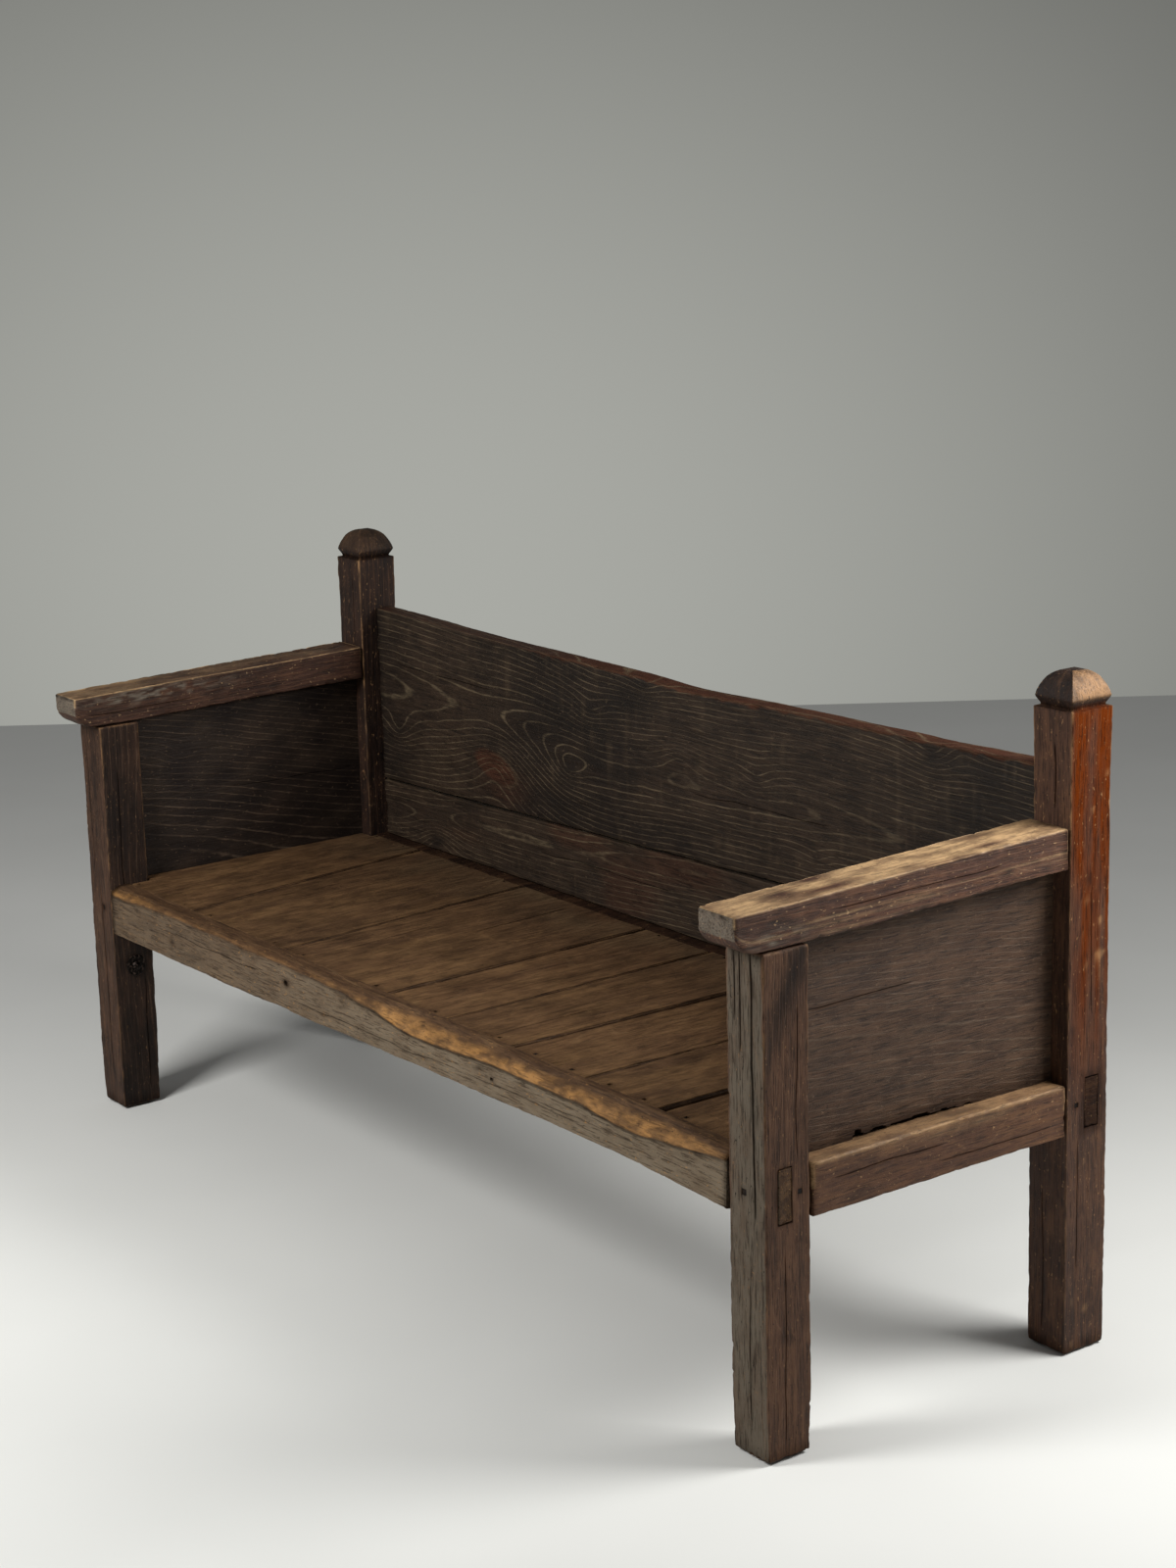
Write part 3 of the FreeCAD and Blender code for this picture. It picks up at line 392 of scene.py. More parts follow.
# A through mortise: the axis it runs along, and its stretch on the two others
LEG_MORTISE = {RIGHT: (X, (24.1, 48.2), (335.6, 414.4)), LEFT: (X, (23.6, 46.6), (337.6, 414.4))}


def front_leg(side, material):
    """A front leg: dry hewn oak with long drying cracks, a chipped foot and a through mortise."""
    pegs = [pit(Y, 0, {X: 31, Z: PEG_RISE}, 4.6, 9), pit(X, 1, {Y: 61, Z: PEG_RISE}, 3.6, 5)]
    size = (LEG_WIDE, LEG_WIDE, ARM_BOTTOM - 0.4)
    mortises = [LEG_MORTISE[side]]
    timber = Timber(size, (4, 4, 4.5), Z, 11 + (side == LEFT), None, LEG_CRACKS[side], pegs, mortises)
    height = timber.box[:, Z]
    timber.round_arrises(timber.worn_radius(4.2, 5.5) + 3 * step(16, 0, height))
    timber.hew(0.8, 0.35)
    taper = (1 + timber.swell(210, 5, Z)) + 2.2 * hump(height, 15, 60)
    timber.push(-0.8 * taper * step(700, 640, height))
    timber.open_cracks()
    timber.sink_pits()
    tone = leg_looks(timber, side)
    pith = (30, 120) if side == RIGHT else (60, 110)
    rings = timber.growth_rings(pith, 14, [(560, 70, 80, 9, -16), (180, 80, 30, 8, 14)])
    place_in_row(timber, (HALF_LENGTH - LEG_WIDE, LEG_FRONT, 0), side)
    finish_timber(timber, f"front_leg_{SIDE_NAMES[side]}", material, "leg_wood", rings, tone)


def leg_looks(timber, side):
    """A leg's stains and worn arrises. The right one has a grey front and a dark swirl. Gives its tone."""
    deep, height = timber.box[:, Y], timber.box[:, Z]
    low, high = LEG_MORTISE[side][1:]
    beside = np.maximum(low[0] - deep, deep - low[1])
    beside = np.maximum(beside, np.maximum(high[0] - height, height - high[1]))
    timber.soil_and_shade(0.25 * timber.on_face(X, 1) * step(5, 0, beside))
    timber.soil_and_shade(0.5 * step(30, 0, height))
    broken = np.clip(0.6 + 1.1 * timber.swell((9, 9, 15), 6), 0, 1)
    timber.rub_and_sheen = step(6, 0, timber.from_arris()) * broken * (0.5 + 0.5 * step(250, 500, height))
    if side == LEFT:
        return 0.6 - 0.45 * timber.on_face(X, 0)
    edge = timber.from_arris() + 2.5 * timber.swell((9, 9, 26), 7)
    timber.coat = timber.on_face(Y, 0) * step(2.5, 7, edge) * 0.95
    return 0.95 - 0.8 * (hump(height, 560 + 2.2 * deep, 45) * timber.on_face(X, 1))


# The rear posts

# The finial: height above the post's shoulder, and how far its faces lie inside the post's
FINIAL = ((-1.4, 0), (-0.4, 0.4), (0, 1.4), (0.1, 6.3), (0.9, 7), (3.6, 7.1), (5, 6.6), (12.2, 2.4),
          (14.4, 1.6), (15.6, 1.5), (17.2, 2), (21, 3.1), (28.5, 6), (35.6, 9.9), (40.6, 13.2), (44.7, 17.4),
          (47.3, 21.2), (49.8, 26.3), (51.4, 32.6), (52, 37))
SHOULDER = 942
POST_CRACKS = {
    RIGHT: [crack(Y, 0, X, 44, 800, 900, 1.2, 9, 1.5, 20), crack(X, 1, Y, 46, 500, 700, 0.7, 5, 2),
            crack(X, 1, Y, 24, 120, 330, 0.8, 6, 2.5), crack(Y, 0, X, 30, 20, 250, 0.9, 7, 2)],
    LEFT: [crack(Y, 0, X, 50, 470, 640, 0.9, 6, 2), crack(Y, 0, X, 28, 780, 930, 0.8, 6, 2)],
}


def rear_post(side, material):
    """A rear post: the finial is cut from the same timber, under it a thin neck groove."""
    marks = {Z: [SHOULDER + rise for rise, inset in FINIAL[:-1]]}
    pegs = [pit(Y, 1, {X: 31, Z: PEG_RISE}, 4.6, 6), pit(X, 1, {Y: 19, Z: PEG_RISE}, 3.6, 4)]
    mortise = (X, (35.6, 62.4), (337.6, 414.4))
    timber = Timber(POST_SIZE, (4, 4, 5), Z, 21 + (side == LEFT), marks, POST_CRACKS[side], pegs, [mortise])
    height = timber.box[:, Z]
    cap = step(SHOULDER, SHOULDER + 8, height)
    timber.round_arrises(timber.worn_radius(3.8, 4.2) * (1 - 0.3 * cap) + 3 * step(16, 0, height))
    timber.hew(0.7, 0.3)
    timber.push(-0.9 * (1 + timber.swell(260, 5, Z)) * step(930, 860, height))
    timber.open_cracks()
    timber.sink_pits()
    cut_finial(timber)
    tone = post_looks(timber, side, cap)
    rings = timber.growth_rings((20, 130), 16, [(700, 78, 40, 10, 18), (520, 20, 0, 8, -14)])
    place_in_row(timber, (HALF_LENGTH - POST_SIZE[X], POST_FRONT, 0), side)
    finish_timber(timber, f"rear_post_{SIDE_NAMES[side]}", material, "post_wood", rings, tone)


def cut_finial(timber):
    """Draws the post's top in to the finial's outline."""
    rises, insets = np.array(FINIAL).T
    inset = np.interp(timber.place[:, Z] - SHOULDER, rises, insets)
    for axis in (X, Y):
        middle = timber.size[axis] / 2
        timber.place[:, axis] = middle + (timber.place[:, axis] - middle) * (1 - inset / middle)


def post_looks(timber, side, cap):
    """A post's stains, a dark neck line of dirt and painted shade, golden arrises, chips and polish with a
    painted highlight on the right finial's outer facet, and orange varnish outside. Gives its tone.
    """
    height = timber.box[:, Z]
    outer = timber.on_face(X, 1)
    # A dark line in the neck groove under the cap's lip: dirt and painted shade.
    timber.soil_and_shade(0.9 * hump(height, SHOULDER + 2.5, 3.5))
    beside = np.maximum(np.abs(timber.box[:, Y] - 49) - 13, np.abs(height - PEG_RISE) - 38)
    timber.soil_and_shade(0.45 * outer * step(16, 0, beside))
    timber.soil_and_shade(0.5 * step(30, 0, height))
    # The right finial's outer facet takes the full pale rubbed colour as a painted highlight; the left cap
    # only a faint polish.
    polish = (outer if side == RIGHT else 0.1) * step(SHOULDER + 10, SHOULDER + 20, height)
    chipped = np.clip(3 * timber.swell((9, 9, 16), 8) - 1.5, 0, 1) * outer
    chipped *= hump(height, 610, 60) + 0.5 * (timber.swell(60, 9) > 0.3)
    arris = step(6, 0, timber.from_arris()) * (0.3 + 0.7 * step(420, 800, height)) * (1 - cap)
    arris *= np.clip(0.6 + 1.1 * timber.swell((9, 9, 18), 11), 0, 1)
    timber.rub_and_sheen = np.maximum(np.maximum(arris, polish), np.clip(chipped, 0, 1))
    bands = 0.62 + 0.3 * step(640, 860, height) + 0.6 * timber.swell((9, 9, 120), 10)
    timber.coat = outer * step(330, 640, height) * (1 - cap) * np.clip(bands, 0, 1)
    pale_front = 0.8 + 0.2 * timber.on_face(Y, 0) * step(500, 700, height)
    return (pale_front if side == RIGHT else 0.15) * (1 - 0.8 * cap)


# The arms

NOSE_RADIUS = 38
ARM_FRONT = box_of("armrest_right")[0][Y]
ARM_CRACKS = [crack(Z, 1, X, 24, 60, 330, 0.8, 4, 3), crack(Z, 1, X, 55, 250, 560, 0.8, 4, 3),
              crack(X, 0, Z, 22, 20, 240, 0.8, 5, 2), crack(X, 1, Z, 33, 160, 480, 0.8, 5, 2.5)]


def armrest(side, material):
    """An arm: thick at the post, rounded under the nose, its top pitted and polished by hands."""
    length = POST_FRONT - ARM_FRONT
    timber = Timber((LEG_WIDE, length, 60), (3, 3.2, 3.5), Y, 31 + (side == LEFT), cracks=ARM_CRACKS)
    timber.round_arrises(timber.worn_radius(4.2, 5.5) + 5 * step(30, 0, timber.box[:, Y]))
    timber.hew(0.8, 0.45)
    top = timber.on_face(Z, 1)
    pitted = np.clip(timber.swell((6, 9, 6), 7) - 0.45, 0, 1) * top
    timber.push(-2.6 * pitted - 0.8 * top * (1 + timber.swell((30, 80, 30), 8)))
    timber.open_cracks()
    along = timber.place[:, Y]
    from_nose = np.clip(NOSE_RADIUS - along, 0, NOSE_RADIUS)
    under = NOSE_RADIUS - np.sqrt(np.clip(NOSE_RADIUS ** 2 - from_nose ** 2, 0, None))
    low = under + 9 * step(126, length, along) * (along > 126) + 0.4
    high = 57 + 15 * along / length
    timber.place[:, Z] = low + timber.place[:, Z] / 60 * (high - low)
    timber.soil_and_shade(0.7 * pitted)
    arm_looks(timber, side)
    rings = timber.growth_rings((20, -55), 9, [(240, 40, 60, 9, 15), (480, 80, 20, 7, -12)])
    place_in_row(timber, (HALF_LENGTH - LEG_WIDE, ARM_FRONT, ARM_BOTTOM), side)
    tone = 0.85 if side == RIGHT else 0.5
    finish_timber(timber, f"armrest_{SIDE_NAMES[side]}", material, "arm_wood", rings, tone)


def arm_looks(timber, side):
    """An arm's top, rubbed by hands, its upper arrises pale with wear and a painted highlight, its flaking
    side, its grey nose and the dirt beside the post.
    """
    along, height = timber.box[:, Y], timber.box[:, Z]
    worn = 0.55 + 0.8 * timber.swell((22, 70, 22), 9)
    low_streaks = np.clip(timber.swell((3, 130, 3), 10), 0, 1) * (height < 26)
    if side == RIGHT:
        by_hand = 1.45
        flaky = hump(along, 75, 40) * hump(height, 14, 12) * timber.on_face(X, 1)
    else:
        by_hand = 0.2 + 0.5 * step(260, 60, along)
        flaky = hump(along, 150, 130) * hump(height, 45, 14) * timber.on_face(X, 0)
    rubbed = np.maximum(timber.on_face(Z, 1) * worn * by_hand, 0.5 * low_streaks * timber.on_face(X, 1))
    # The upper arrises take the pale rubbed colour: wear, and a painted highlight along them.
    arrises = step(5, 0, timber.from_arris()) * (height > 30)
    timber.rub_and_sheen = np.clip(np.maximum(rubbed, arrises), 0, 1)
    fibres = np.clip(0.2 + 1.6 * timber.swell((3.5, 13, 3.5), 11), 0, 1)
    timber.coat = np.maximum(0.8 * timber.on_face(Y, 0), flaky * fibres)
    torn = timber.on_face(Y, 0) * step(38, 52, height) * (0.6 + timber.swell(8, 12))
    timber.soil_and_shade(0.8 * np.clip(torn, 0, 1))
    timber.soil_and_shade(0.6 * step(22, 0, timber.size[Y] - along))


# The side rails and side panels


def side_rail(side, material):
    """A side rail between leg and post, rubbed along its upper arris."""
    node = f"side_rail_{SIDE_NAMES[side]}"
    low, high = box_of(node)
    front = LEG_FRONT + LEG_WIDE
    size = (high[X] - low[X], POST_FRONT - front, high[Z] - low[Z])
    cracks = [crack(X, 1, Z, 48, 30, 250, 0.9, 6, 2), crack(X, 1, Z, 24, 220, 450, 0.8, 5, 2)]
    timber = Timber(size, (5, 4, 4), Y, 41 + (side == LEFT), cracks=cracks)
    timber.round_arrises(timber.worn_radius(4, 6))
    timber.hew(0.9, 0.4)
    timber.open_cracks()
    along, height = timber.box[:, Y], timber.box[:, Z]
    shaved = 5 * step(12, 0, along) * step(size[Z] - 14, size[Z], height)
    timber.place[:, X] -= shaved * (timber.box[:, X] > 30)
    edge = step(10, 0, timber.from_arris()) * (height > size[Z] / 2)
    golden = hump(along, 270, 120) * step(50, 78, height) * (0.5 + 0.5 * timber.swell((5, 60, 5), 3))
    timber.rub_and_sheen = np.maximum(np.maximum(edge, golden), 0.6 * timber.on_face(Z, 1))
    timber.soil_and_shade(0.4 * step(16, 0, np.minimum(along, size[Y] - along)))
    rings = timber.growth_rings((-40, 20), 8, [(300, 60, 40, 8, 13)])
    lower = RAIL_BOTTOM - 5
    place_in_row(timber, (HALF_LENGTH - size[X], front, lower), side)
    finish_timber(timber, node, material, "side_rail_wood", rings, 0.9)


def side_panel(side, material):
    """A side panel: one wide board with raised grain. The right one's lower edge is broken away. The left one
    is painted darker as shade, more so towards the rear.
    """
    low, high = box_of("side_panel_right")
    bottom = BOARD_BOTTOM + 4
    size = (high[X] - low[X], high[Y] - low[Y], high[Z] - bottom)
    splits = [crack(X, 1, Z, 205, 20, 240, 0.9, 3, 3), crack(X, 0, Z, 150, 200, 470, 0.9, 3, 3)]
    marks = {Z: list(np.arange(9, 44, 1.8))} if side == RIGHT else None
    timber = Timber(size, (4, 4, 4.2), Y, 51 + (side == LEFT), marks, splits)
    timber.round_arrises(1.2)
    timber.hew(0.5, 0.3)
    timber.open_cracks()
    height = timber.box[:, Z]
    # Darker along the foot and along the top edge under the arm: dirt and painted shade.
    timber.soil_and_shade(0.6 * (step(size[Z] * 0.1, 0, height) + step(20, 0, size[Z] - height)))
    scratches = np.clip(3 * timber.swell((5, 16, 5), 4) - 2.2, 0, 1)
    timber.rub_and_sheen = 0.25 * (1 + timber.swell((30, 50, 30), 3)) + 0.7 * scratches
    if side == RIGHT:
        break_lower_edge(timber)
        rings = timber.growth_rings((40, 150), 9, [(152, 0, 70, 7, 12)], 0.12)
    else:
        # Painted shade: the left panel, deep inside the bench, grows darker towards the rear.
        timber.soil_and_shade(0.3 * step(60, 420, timber.box[:, Y]))
        rings = timber.growth_rings((150, 20), 9, [(100, 0, 230, 9, 12)], 0.22)
    place_in_row(timber, (low[X], low[Y], bottom), side)
    # The left panel's darkest tone is painted shade.
    tone = 0.95 if side == RIGHT else 0
    finish_timber(timber, f"side_panel_{SIDE_NAMES[side]}", material, "panel_wood", rings, tone)


def break_lower_edge(timber):
    """Breaks away the right panel's lower edge, with one deeper notch."""
    along, height = timber.box[:, Y], timber.box[:, Z]
    reach = 12.5 + 3 * timber.swell(30, 0, Y) + 2.5 * timber.swell(9, 1, Y) + 11 * hump(along, 122, 6)
    reach *= step(100, 120, along) * (1 - step(330, 350, along))
    broken = timber.on_face(X, 1) * (height < reach) * (height > 8)
    timber.place[:, X] -= 8.5 * broken
    timber.soil_and_shade(broken)


# The front and rear seat rails

FRONT_RAIL_CRACKS = [crack(Y, 0, Z, 48, 300, 610, 1.0, 7, 3), crack(Y, 0, Z, 40, 1380, 1640, 1.1, 8, 2.5),
                     crack(Y, 0, Z, 22, 700, 1150, 0.9, 6, 3), crack(Y, 0, Z, 30, 1200, 1500, 0.8, 6, 2.5)]
FRONT_RAIL_HOLES = [pit(Y, 0, {X: 686, Z: 47}, 5, 4), pit(Y, 0, {X: 1273, Z: 41}, 4, 3)]
FRONT_RAIL_KNOTS = [(686, 0, 47, 9, 15), (1240, 0, 60, 11, -16), (300, 0, 30, 8, 12), (1600, 0, 45, 8, 12)]


def both_sides(place):
    """Two grid lines that lie close on either side of a place."""
    return [place - 0.1, place + 0.1]


def wear_of(x):
    """How far the front rail's top arris is worn down at each place along it."""
    left = 3.5 + 8 * hump(x, -880, 110)
    return left + 23 * hump(x, 140, 150) + 20 * hump(x, 655, 160) + 11 * hump(x, 390, 130)


def to_tenon(timber, inner, setback, thick):
    """Draws both ends of a rail in to their through tenons, beyond the shoulders."""
    beyond = np.abs(timber.box[:, X] - HALF_LENGTH) > inner
    timber.place[beyond, Y] = setback + timber.place[beyond, Y] / timber.size[Y] * thick
    timber.place[beyond, Z] = timber.place[beyond, Z] / timber.size[Z] * TENON_TALL
    return beyond


def ledge(timber, under_boards, beyond):
    """Cuts the ledge that carries the seat boards into the top of a rail, between its tenons."""
    drop = SEAT_TOP - BOARD_BOTTOM + 0.4
    timber.place[:, Z] -= under_boards * ~beyond * drop * timber.box[:, Z] / timber.size[Z]


def trim_tenons(timber, beyond):
    """Ends the through tenons just inside the outer faces of the legs or posts."""
    timber.place[beyond, X] = np.clip(timber.place[beyond, X], 0.8, 2 * HALF_LENGTH - 0.8)


def front_rail(material):
    """The front seat rail: its top arris is worn hollow where people sat, down to bright fibres."""
    low, high = box_of("front_seat_rail")
    size = high - low
    strip = 40
    marks = {X: both_sides(LEG_WIDE) + both_sides(2 * HALF_LENGTH - LEG_WIDE) + [1816.5],
             Y: both_sides(strip), Z: [size[Z] - 30, size[Z] - 22]}
    timber = Timber(size, (4.2, 3.2, 3.2), X, 61, marks, FRONT_RAIL_CRACKS, FRONT_RAIL_HOLES)
    along, deep, height = timber.box.T
    x = along - HALF_LENGTH
    timber.round_arrises(timber.worn_radius(3, 3.5) * (1 - 0.8 * (np.abs(x) > 870)))
    timber.hew(0.9, 0.45)
    timber.open_cracks()
    timber.sink_pits()
    beyond = to_tenon(timber, 870, 24, 22)
    drop = wear_of(x) + 1.6 * timber.swell(45, 3, X)
    frays = timber.swell((14, 4, 4), 5) + 0.6 * timber.swell((45, 5, 5), 6)
    inward = wear_top_arris(timber, drop, frays, beyond)
    sag = -5 + 15 * step(-700, 560, x) - 7 * step(600, 870, x)
    timber.place[:, Z] += (sag + 1.2 * timber.swell(60, 7, (X, Y))) * step(45, 0, height) * ~beyond
    ledge(timber, deep > strip, beyond)
    right_gap = (along > 1816) & ~beyond
    timber.place[right_gap, X] -= 3.4 - 1.6 * timber.place[right_gap, Z] / size[Z]
    trim_tenons(timber, beyond)
    front_rail_looks(timber, x, drop, frays, inward, beyond)
    rings = timber.growth_rings((60, -30), 10, FRONT_RAIL_KNOTS)
    place_in_row(timber, low)
    finish_timber(timber, "front_seat_rail", material, "rail_wood", rings, 0.8)


def wear_top_arris(timber, drop, frays, beyond):
    """Wears the front rail's top arris down. Gives how far across the worn strip each point lies."""
    deep, height = timber.box[:, Y], timber.box[:, Z]
    width = 7 + 1.15 * drop + 4 * timber.swell(60, 4, X)
    inward = np.clip(deep / width, 0, 1)
    top = np.where(timber.on_face(Z, 1), (1 - inward) ** 1.5, step(30, 83, height) * (deep < 1))
    worn = np.clip(top * 3, 0, 1) * np.clip(drop / 12, 0, 1) * ~beyond
    timber.place[:, Z] -= (drop * top) * ~beyond
    below_seat = SEAT_TOP - RAIL_BOTTOM - timber.place[:, Z]
    timber.place[:, Z] -= worn * 1.3 * (1.2 + frays) * step(0, 4, below_seat)
    timber.place[:, Y] += worn * 1.1 * (1.2 + frays)
    return inward


def front_rail_looks(timber, x, drop, frays, inward, beyond):
    """The front rail's golden arris with its ragged rim darkened with dirt and painted shade, its grey face
    and the dirt at its ends.
    """
    top, front = timber.on_face(Z, 1), timber.on_face(Y, 0)
    below = timber.size[Z] - timber.box[:, Z]
    golden = np.where(top, step(0.25, 0.75, 1 - inward), step(6, 1, below) * front)
    golden = golden * (0.25 + 0.75 * step(4, 15, drop)) * (0.3 + 0.7 * step(-0.7, 0.3, frays))
    timber.rub_and_sheen = np.clip(golden, 0, 1) * ~beyond
    # A dark line under the worn arris and dark specks in its frays: painted shade of the ragged edge, and
    # dirt in its hollows.
    ragged = hump(below, 7, 3) * front + np.clip(frays - 0.9, 0, 1) * top * golden
    timber.soil_and_shade(0.85 * np.clip(ragged, 0, 1) * np.clip(drop / 12, 0, 1))
    timber.soil_and_shade(0.8 * step(14, 0, np.abs(np.abs(x) - 868)))
    timber.coat = front * (0.5 + 0.5 * step(-600, 300, x)) * step(3, 8, below)


def rear_rail(material):
    """The rear seat rail, behind and under the back."""
    low, high = box_of("rear_seat_rail")
    strip = 14
    inner = 872
    marks = {X: both_sides(HALF_LENGTH - inner) + both_sides(HALF_LENGTH + inner), Y: both_sides(strip)}
    cracks = [crack(Y, 1, Z, 36, 400, 900, 1.0, 7, 3), crack(Y, 1, Z, 58, 1100, 1500, 0.9, 6, 2)]
    timber = Timber(high - low, (7, 4.5, 5), X, 71, marks, cracks)
    timber.round_arrises(timber.worn_radius(3, 3))
    timber.hew(0.9, 0.5)
    timber.open_cracks()
    beyond = to_tenon(timber, inner, 36, 26)
    ledge(timber, timber.box[:, Y] < strip, beyond)
    trim_tenons(timber, beyond)
    timber.soil_and_shade(0.7 * timber.on_face(Z, 1) + 0.6 * beyond)
    rings = timber.growth_rings((20, -40), 10, [(800, 70, 40, 9, 14)])
    place_in_row(timber, low)
    finish_timber(timber, "rear_seat_rail", material, "side_rail_wood", rings, 0.4)


# The seat

# For each seat board: how much lower it lies, how far it is cupped, where its pith is, its tone
BOARD_SET = {1: (0.2, 0.6, 40, 0.75), 2: (1.0, -0.5, 250, 0.65), 3: (0.1, 0.8, 150, 0.8),
             4: (1.2, 0.4, 60, 0.95), 5: (0.3, -0.6, 130, 0.8), 6: (1.4, 0.7, 30, 0.9),
             7: (0.5, -0.4, 100, 0.75), 8: (0.8, 0.6, 170, 0.85)}
BOARD_CRACKS = {
    2: [crack(Z, 1, X, 60, 20, 180, 0.8, 4, 3)],
    3: [crack(Z, 1, X, 143, 285, 518, 1.5, 6, 3), crack(Z, 1, X, 70, 60, 300, 0.8, 4, 2)],
    5: [crack(Z, 1, X, 110, 10, 230, 0.9, 5, 2)],
    7: [crack(Z, 1, X, 60, 200, 480, 0.8, 4, 3)],
    8: [crack(Z, 1, X, 150, 10, 210, 0.9, 5, 3)],
}
BOARD_KNOTS = {
    1: [(180, 90, 24, 8, 13)],
    3: [(430, 135, 24, 13, 20)],
    4: [(330, 40, 24, 7, -11)],
    6: [(150, 120, 24, 9, 14)],
    8: [(400, 60, 24, 8, 12)],
}
# Where a board's left seam opens wider: by how much, and from where to where along the board
WIDER_SEAMS = {3: (3, 250, 520), 5: (1.5, 100, 400), 8: (3.4, -1, 0)}
BOARD_THICK = 24
# Along the first and the last board: where the notch for the leg ends and the one for the post starts
LEG_NOTCH, POST_NOTCH = 41.3, 506.1


def seat_wear(x, y):
    """How far the seat is worn down at a place, in millimetres."""
    sat = 1.6 * hump(x, 150, 260) + 1.3 * hump(x, 620, 170) + 0.8 * hump(x, -450, 260)
    return sat * step(260, -150, y)


def nail_places():
    """The middle of each nail's head, read from the frame."""
    points = points_of("seat_nails")
    heads = {tuple(point) for point in np.round(points[points[:, Z] > SEAT_TOP - 1.5][:, :2], 0)}
    wide = [(a, b) for a in (5, 6) for b in (5, 6)]
    return [(x + 2.5, y + 2.5) for x, y in sorted(heads) if any((x + a, y + b) in heads for a, b in wide)]


def sides_at(share, front, rear):
    """Where a board's two sides lie, at a share of its depth."""
    left = front.min() + (rear.min() - front.min()) * share
    right = front.max() + (rear.max() - front.max()) * share
    return left, right


def nail_pits(low, size, front, rear):
    """The pits round the nails that hold a seat board."""
    pits = []
    for x, y in nail_places():
        left, right = sides_at((y - low[Y]) / size[Y], front, rear)
        if left < x < right:
            across = (x - left) / (right - left) * size[X]
            pits.append(pit(Z, 1, {X: across, Y: y - low[Y]}, 3.4, 2.6))
    return pits


def seat_board(number, material):
    """A seat board: worn along its seams, nailed, and lying a little differently from the others."""
    node = f"seat_board_{number}"
    low, high = box_of(node)
    corners = points_of(node)
    front, rear = [corners[np.abs(corners[:, Y] - end[Y]) < 0.2][:, X] for end in (low, high)]
    size = (front.max() - front.min(), high[Y] - low[Y], high[Z] - low[Z])
    notched = number in (1, 8)
    marks = {Y: both_sides(LEG_NOTCH) + both_sides(POST_NOTCH)} if notched else {}
    pits = nail_pits(low, size, front, rear)
    timber = Timber(size, (4, 4.2, 5), Y, 80 + number, marks, BOARD_CRACKS.get(number, ()), pits)
    timber.round_arrises(timber.worn_radius(3.4, 3.8))
    timber.hew(0.5, 0.25)
    timber.open_cracks()
    timber.sink_pits()
    lower, cup, pith, tone = BOARD_SET[number]
    part = timber.place[:, X] / size[X]
    sides = sides_at(timber.place[:, Y] / size[Y], front, rear)
    left, right = board_sides(timber, number, (low[X], high[X]), sides)
    timber.place[:, X] = left + part * (right - left)
    timber.place[:, Y] += low[Y]
    cupped = lower + cup * (1 - (2 * part - 1) ** 2) + abs(cup)
    worn = seat_wear(timber.place[:, X], timber.place[:, Y])
    timber.place[:, Z] += low[Z] - (cupped + worn) * timber.box[:, Z] / BOARD_THICK
    board_looks(timber, number)
    rings = timber.growth_rings((pith, -35), 20, BOARD_KNOTS.get(number, []))
    finish_timber(timber, node, material, "seat_wood", rings, tone)


def board_sides(timber, number, ends, sides):
    """A board's wavy sides. The first and the last board run past the legs between their notches."""
    along = timber.box[:, Y]
    left, right = sides
    between = (along > LEG_NOTCH) & (along < POST_NOTCH)
    if number == 1:
        left = np.where(between, ends[0], left)
    if number == 8:
        right = np.where(between, ends[1], right)
    wavy_left = (1.5 + 1.2 * timber.swell(75, 3, Y)) * (number > 1)
    wavy_right = (1.3 + 1.2 * timber.swell(75, 4, Y)) * (number < 8)
    wider, start, end = WIDER_SEAMS.get(number, (0, 0, 1))
    wavy_left += wider * step(start, end, along)
    return left + wavy_left, right - wavy_right


def board_looks(timber, number):
    """A board's rubbed lips and front, its seams and sides darkened with dirt and painted shade, and its
    dusty rear, whose pale coat is also painted light. The third has a half moon.
    """
    across, along, height = timber.box.T
    top = timber.on_face(Z, 1)
    seam = np.minimum(across, timber.size[X] - across)
    lip = hump(seam, 6, 3) * (0.3 + 1.1 * timber.swell((8, 22, 8), 6))
    sat_on = 0.5 * top * (1 + timber.swell((30, 150, 30), 7)) * step(560, 120, along)
    timber.rub_and_sheen = np.clip(np.maximum(lip, sat_on), 0, 1)
    if number == 3:
        half_moon = hump(np.hypot(across - 182, along - 343), 50, 2.6) * (along < 385) * (across > 143)
        timber.rub_and_sheen = np.maximum(timber.rub_and_sheen, half_moon * top)
    dirt = step(22, 0, along) * 0.2 + 0.45 * np.clip(timber.swell((35, 70, 35), 8), 0, 1)
    # Dark along the board's edges at the seams: dirt and painted shade.
    dark_seam = 0.85 * step(5, 2, seam + 1.5 * timber.swell((9, 20, 9), 5))
    timber.soil_and_shade(top * np.maximum(dirt, dark_seam))
    # Painted shade: the boards' sides below the top and their undersides are coloured dark, as the shade in
    # the seams.
    timber.soil_and_shade(0.9 * step(4, 9, BOARD_THICK - height))
    # The dusty coat at the rear is pale: dust, and painted light lifting the shade under the back.
    timber.coat = 0.7 * top * step(330, 540, along) * (0.5 + 0.5 * timber.swell((50, 60, 50), 9))


# The back

